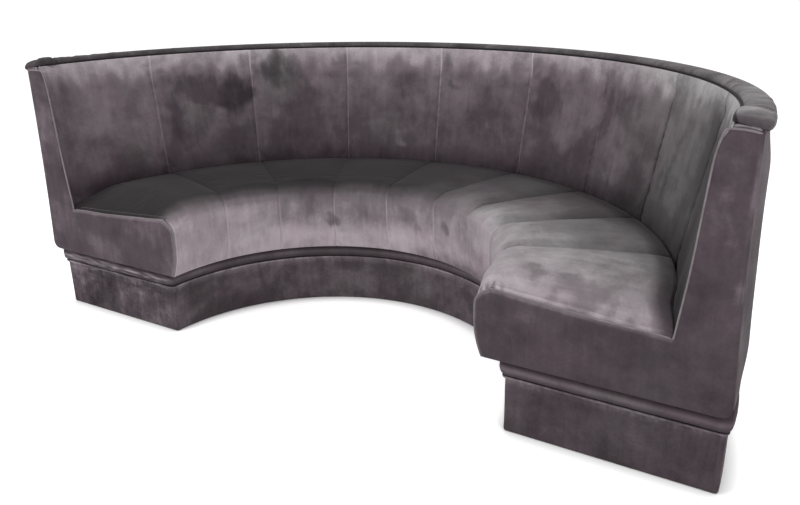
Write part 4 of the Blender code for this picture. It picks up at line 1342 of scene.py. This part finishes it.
def build_bead():
    """Fat padded roll between the plinth and the seat, tacked in at its foot and lumpy at the left end."""
    line = [(out, mix(Z_BEAD, Z_BEAD_TOP, share)) for out, share in BEAD_SECTION]
    section = curve_through(line, BEAD_ROWS)
    section[[0, -1], 0] = 0
    points = loop_points(section)
    left_end = at_left_end(points)
    wrinkles = rumple(points * np.array([0.18, 1.0, 1.0]), 0.0085) * left_end
    lift = BEAD_LUMPS * rumple(points, 0.07) + BEAD_RUMPLE * rumple(points, 0.018)
    lift += BEAD_WRINKLES * wrinkles
    lift[:, [0, -1]] = 0
    points = moved(points, -lift)
    level = row_levels(len(section))
    radius = np.hypot(points[..., 0], points[..., 1] - ARC_Y)
    rear = rise(radius, 1.0, 0.1) * rise(points[..., 1], ARC_Y, 0.04)
    points[..., 2] += BEAD_RISE * rear * rise(level, 0.6, 0.4)
    out = np.broadcast_to(section[:, 0] / BEAD_PROJECTION, points.shape[:2])
    share = (points[..., 2] - Z_BEAD) / (Z_BEAD_TOP - Z_BEAD)
    # Painted highlight on the roll's face, painted shadow under the panels above it, painted shade towards
    # its foot
    tone = BEAD_TONE + BEAD_HIGHLIGHT * bell((share - 0.52) / 0.13) + BEAD_TOP_SHADOW * rise(share, 0.62, 0.16)
    # and painted shadow where it tucks in at top and foot
    tone += BEAD_FOOT_SHADE * rise(share, 0.36, -0.14) + BEAD_NECK_SHADOW * rise(out, 0.75, -0.5)
    # Lighter at the left-hand end, with painted light and shade that follow its wrinkles
    tone += BEAD_LEFT_TONE * left_end + BEAD_WRINKLE_SHADING * wrinkles
    look = velvet_look(points.shape[:2], tone, 0.8, 0.20)
    piece = cloth_piece("bead_roll", points, BEAD_PANEL, look, DOWN, round_columns=True, turned=True)
    return declare(piece, "velvet", "bead_roll_front", "bead_roll_back", fill=0.8)


def build_dust_cover():
    """Thin lining stapled under the plinth. It sags a little between its edges."""
    low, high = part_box("dust_cover")
    outer = high.x
    inner = R_PLINTH + R_PLINTH_BACK - outer
    across = np.linspace(0, 1, DUST_ROWS)
    radius = mix(inner, outer, across)
    first = np.arcsin((low.y - ARC_Y) / radius)
    turn = mix(first, np.pi - first, np.linspace(0, 1, DUST_COLUMNS)[:, None])
    sag = DUST_SAG * (1 - (2 * across - 1) ** 2) * (0.7 + 0.3 * np.cos(12 * turn))
    plan = np.stack([radius * np.cos(turn), ARC_Y + radius * np.sin(turn)], axis=-1)
    under = np.concatenate([plan, (high.z - DUST_THICKNESS - sag)[..., None]], axis=-1)
    above = np.concatenate([plan, (high.z - GAP - sag)[..., None]], axis=-1)
    points = np.concatenate([above, under[:, ::-1]], axis=1)
    faces = grid_faces(*points.shape[:2], round_rows=True)
    sheet = new_object("dust_sheet", points, faces)
    declare(sheet, "lining", "dust_cover")


# Materials


def new_material(name):
    material = bpy.data.materials.new(name)
    material.use_nodes = True
    return material, material.node_tree, material.node_tree.nodes["Principled BSDF"]


def wire(tree, made, inputs):
    """Links other sockets to a node's inputs, or sets their values."""
    for key, value in inputs.items():
        if isinstance(value, bpy.types.NodeSocket):
            tree.links.new(value, made.inputs[key])
        else:
            made.inputs[key].default_value = value


def node(tree, kind, **inputs):
    made = tree.nodes.new(kind)
    wire(tree, made, inputs)
    return made


def maths(tree, operation, a, b):
    made = tree.nodes.new("ShaderNodeMath")
    made.operation = operation
    wire(tree, made, {0: a, 1: b})
    return made.outputs[0]


def vector_maths(tree, operation, a, b=None, key=1):
    made = tree.nodes.new("ShaderNodeVectorMath")
    made.operation = operation
    wire(tree, made, {0: a} if b is None else {0: a, key: b})
    return made.outputs[0]


def scaled(tree, value, factor, offset):
    return maths(tree, "ADD", maths(tree, "MULTIPLY", value, factor), offset)


def clouds(tree, vector, scale, detail, distortion):
    made = node(tree, "ShaderNodeTexNoise", Vector=vector, Scale=scale, Detail=detail)
    wire(tree, made, {"Roughness": 0.58, "Distortion": distortion})
    return made.outputs["Fac"]


def ramp(tree, value, stops):
    made = tree.nodes.new("ShaderNodeValToRGB")
    elements = made.color_ramp.elements
    for position, _ in stops[2:]:
        elements.new(position)
    for element, (position, colour) in zip(elements, sorted(stops)):
        element.position = position
        element.color = (*colour, 1.0)
    wire(tree, made, {"Fac": value})
    return made.outputs["Color"]


def weighed(tree, parts):
    """Sum of noises, each measured from its middle and given its weight."""
    total = 0.0
    for value, weight in parts:
        share = maths(tree, "MULTIPLY", maths(tree, "SUBTRACT", value, 0.5), weight)
        total = maths(tree, "ADD", share, total)
    return total


def attribute(tree, name):
    made = tree.nodes.new("ShaderNodeAttribute")
    made.attribute_name = name
    return made.outputs["Vector"]


SHEEN_TINT = (0.95, 0.87, 0.90, 1.0)
# Velvet from its darkest to its lightest, mauve and where it looks grey
MAUVE = (
    (0.00, (0.0145, 0.0094, 0.0122)),
    (0.25, (0.0344, 0.0242, 0.0296)),
    (0.50, (0.0815, 0.0622, 0.0722)),
    (0.75, (0.1953, 0.1575, 0.1764)),
    (1.00, (0.4651, 0.3975, 0.4333)),
)
GREY = (
    (0.00, (0.0123, 0.0115, 0.0122)),
    (0.25, (0.0301, 0.0286, 0.0295)),
    (0.50, (0.0739, 0.0704, 0.0718)),
    (0.75, (0.1804, 0.1735, 0.1752)),
    (1.00, (0.4391, 0.4263, 0.4306)),
)


def smoothstep(tree, value, low, high):
    made = node(tree, "ShaderNodeMapRange", **{"Value": value, "From Min": low, "From Max": high})
    made.interpolation_type = "SMOOTHSTEP"
    return made.outputs["Result"]


def emboss(tree, shader, **inputs):
    bump = node(tree, "ShaderNodeBump", **inputs)
    tree.links.new(bump.outputs["Normal"], shader.inputs["Normal"])


def ragged_marks(tree, cloth):
    """Tone of the brushed marks, whose edges the pile breaks up along its rows."""
    weight, tone, _ = node(tree, "ShaderNodeSeparateXYZ", Vector=attribute(tree, "marks")).outputs
    strokes = vector_maths(tree, "MULTIPLY", cloth, (2.2, 0.6, 3.7))
    broken = weighed(tree, ((clouds(tree, strokes, 22.0, 6.0, 0.2), 1.0),))
    shown = smoothstep(tree, maths(tree, "ADD", weight, broken), -0.02, 1.12)
    return maths(tree, "MULTIPLY", shown, tone)


def velvet(name, depth=1.0, sheen=0.07):
    """Brushed velvet: clouds where the pile lies another way, and a sheen at its edges."""
    material, tree, shader = new_material(name)
    cloth = attribute(tree, "cloth")
    parts = node(tree, "ShaderNodeSeparateXYZ", Vector=attribute(tree, "look")).outputs
    apart = vector_maths(tree, "MULTIPLY", cloth, (1.0, 1.0, 3.7))
    streak = vector_maths(tree, "MULTIPLY", cloth, (30.0, 4.0, 3.7))
    patches = smoothstep(tree, clouds(tree, apart, 5.5, 3.0, 0.25), 0.36, 0.64)
    small = clouds(tree, apart, 18.0, 4.0, 0.2)
    grain = clouds(tree, apart, 110.0, 3.0, 0.0)
    fine = clouds(tree, streak, 1.5, 3.0, 0.3)
    pile = clouds(tree, apart, 900.0, 2.0, 0.0)
    brushed = weighed(tree, ((patches, 0.09), (small, 0.20), (grain, 0.10), (fine, 0.12)))
    brushed = maths(tree, "MULTIPLY", brushed, parts[1])
    tone = maths(tree, "ADD", parts[0], ragged_marks(tree, cloth))
    level = maths(tree, "ADD", maths(tree, "ADD", brushed, tone), 0.5)
    tint = maths(tree, "ADD", parts[2], weighed(tree, ((clouds(tree, apart, 5.0, 3.0, 0.5), 1.2),)))
    blend = node(tree, "ShaderNodeMix", Factor=tint)
    blend.data_type = "RGBA"
    for key, stops in ((6, MAUVE), (7, GREY)):
        deep = [(place, tuple(depth * c for c in colour)) for place, colour in stops]
        wire(tree, blend, {key: ramp(tree, level, deep)})
    surface = tree.nodes.new("ShaderNodeNewGeometry")
    lean = vector_maths(tree, "SCALE", attribute(tree, "nap"), maths(tree, "MULTIPLY", brushed, 0.5), key=3)
    tilted = vector_maths(tree, "NORMALIZE", vector_maths(tree, "ADD", surface.outputs["Normal"], lean))
    emboss(tree, shader, Strength=0.35, Distance=0.0008, Height=pile, Normal=tilted)
    wire(tree, shader, {"Base Color": blend.outputs[2], "Roughness": scaled(tree, small, 0.15, 0.82)})
    wire(tree, shader, {"Sheen Weight": sheen, "Sheen Roughness": 0.35, "Sheen Tint": SHEEN_TINT})
    wire(tree, shader, {"Specular IOR Level": 0.12})
    return material


def wood(name, dark, light, scale):
    material, tree, shader = new_material(name)
    place = tree.nodes.new("ShaderNodeTexCoord").outputs["Object"]
    grain = clouds(tree, vector_maths(tree, "MULTIPLY", place, (scale, scale, scale * 8)), 3.0, 6.0, 1.5)
    emboss(tree, shader, Strength=0.2, Distance=0.0005, Height=grain)
    wire(tree, shader, {"Base Color": ramp(tree, grain, ((0.3, dark), (0.7, light))), "Roughness": 0.65})
    return material


def speckled(name, dark, light, scale, roughness, metallic=0.0):
    material, tree, shader = new_material(name)
    place = tree.nodes.new("ShaderNodeTexCoord").outputs["Object"]
    spots = clouds(tree, place, scale, 3.0, 0.4)
    emboss(tree, shader, Strength=0.15, Distance=0.0004, Height=spots)
    uneven = scaled(tree, spots, 0.2, roughness - 0.1)
    colour = ramp(tree, spots, ((0.3, dark), (0.7, light)))
    wire(tree, shader, {"Base Color": colour, "Roughness": uneven, "Metallic": metallic})
    return material


# Plainer materials: dark tone, light tone, scale of the spots, roughness and metal
SPECKLED = {
    "hardboard": ((0.16, 0.09, 0.05), (0.26, 0.16, 0.09), 400.0, 0.6),
    "foam": ((0.66, 0.58, 0.36), (0.80, 0.72, 0.50), 700.0, 0.95),
    "lining": ((0.012, 0.012, 0.013), (0.030, 0.030, 0.032), 900.0, 0.9),
    "glide_plastic": ((0.035, 0.035, 0.036), (0.065, 0.064, 0.064), 300.0, 0.45),
    "zinc_steel": ((0.50, 0.50, 0.49), (0.70, 0.70, 0.68), 250.0, 0.35, 1.0),
}


def paint():
    """A material for every piece, by its record slot."""
    surfaces = {
        "velvet": velvet("velvet"),
        "piping_velvet": velvet("piping_velvet", depth=0.24, sheen=0.05),
        "plywood": wood("plywood", (0.40, 0.26, 0.14), (0.62, 0.45, 0.28), 4.0),
    }
    for name, values in SPECKLED.items():
        surfaces[name] = speckled(name, *values)
    slots = {part["node"]: part["material_slot"] for part in frame["record"]["subparts"]}
    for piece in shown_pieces():
        slot = piece.get("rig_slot") or slots[piece["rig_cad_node"]]
        piece.data.materials.clear()
        piece.data.materials.append(surfaces[slot])


# Light, floor and camera

AMBIENT = 0.55
FLOOR_SIZE = 40.0
FLOOR_COLOUR = (0.90, 0.90, 0.90, 1.0)
WHITE = (1.0, 1.0, 1.0, 1.0)
FLOOR_GLOW = 0.58
CONTACT_REACH = 0.05
LIGHT_TARGET = (0.0, 0.0, 0.4)
# Name, place, size and power of each light
LIGHTS = (
    ("key", (-2.2, -3.6, 3.4), 2.6, 95.0),
    ("fill", (3.4, -2.6, 2.4), 2.6, 45.0),
    ("top", (0.2, 0.6, 3.6), 2.4, 40.0),
)
# Camera fitted to the photograph's arcs, ends and seams: heading, pitch and roll in degrees
CAMERA_PLACE = (1.3661, -2.3315, 1.2364)
CAMERA_TURN = (31.1385, 20.3246, -0.7629)
CAMERA_LENS = 34.40
CAMERA_SENSOR = 36.0


def add_light(name, place, size, power):
    data = bpy.data.lights.new(name, "AREA")
    data.shape = "DISK"
    data.size = size
    data.energy = power
    lamp = bpy.data.objects.new(name, data)
    lamp.location = place
    lamp.rotation_euler = (Vector(LIGHT_TARGET) - Vector(place)).to_track_quat("-Z", "Y").to_euler()
    bpy.context.scene.collection.objects.link(lamp)


def background_seen(tree):
    """1 where the camera, a reflection or a refraction looks, 0 for light that reaches the object."""
    path = tree.nodes.new("ShaderNodeLightPath")
    seen = maths(tree, "MAXIMUM", path.outputs["Is Camera Ray"], path.outputs["Is Glossy Ray"])
    return maths(tree, "MAXIMUM", seen, path.outputs["Is Transmission Ray"])


def build_world():
    surroundings = bpy.data.worlds.new("studio")
    bpy.context.scene.world = surroundings
    surroundings.use_nodes = True
    tree = surroundings.node_tree
    shader = tree.nodes["Background"]
    strength = scaled(tree, background_seen(tree), 1 - AMBIENT, AMBIENT)
    wire(tree, shader, {"Color": WHITE, "Strength": strength})


def build_floor():
    """White floor that keeps the object's shadow."""
    corners = ((-1, -1, 0), (1, -1, 0), (1, 1, 0), (-1, 1, 0))
    floor = new_object("floor", FLOOR_SIZE * np.array(corners, float), [(0, 1, 2, 3)])
    material, tree, shader = new_material("floor")
    shade = node(tree, "ShaderNodeAmbientOcclusion", Distance=CONTACT_REACH)
    glow = maths(tree, "MULTIPLY", maths(tree, "POWER", shade.outputs["AO"], 2.0), FLOOR_GLOW)
    glow = maths(tree, "MULTIPLY", background_seen(tree), glow)
    wire(tree, shader, {"Base Color": FLOOR_COLOUR, "Roughness": 0.9, "Specular IOR Level": 0.0})
    wire(tree, shader, {"Emission Color": WHITE, "Emission Strength": glow})
    floor.data.materials.append(material)


def build_camera():
    """The photograph's own view."""
    data = bpy.data.cameras.new("camera")
    data.sensor_width = CAMERA_SENSOR
    data.lens = CAMERA_LENS
    camera = bpy.data.objects.new("camera", data)
    heading, pitch, roll = (math.radians(a) for a in CAMERA_TURN)
    tilt = Matrix.Rotation(math.pi / 2 - pitch, 4, "X") @ Matrix.Rotation(roll, 4, "Z")
    camera.matrix_world = Matrix.Translation(CAMERA_PLACE) @ Matrix.Rotation(heading, 4, "Z") @ tilt
    bpy.context.scene.collection.objects.link(camera)
    bpy.context.scene.camera = camera


def main():
    bpy.context.scene.view_settings.view_transform = "Standard"
    seat_skin = build_seat()
    back_skin = build_back()
    build_cap()
    build_piping()
    build_end(1, "right", seat_skin, back_skin)
    build_end(-1, "left", seat_skin, back_skin)
    build_outside_back()
    build_plinth()
    build_bead()
    build_dust_cover()
    paint()
    build_world()
    build_floor()
    for light in LIGHTS:
        add_light(*light)
    build_camera()


main()
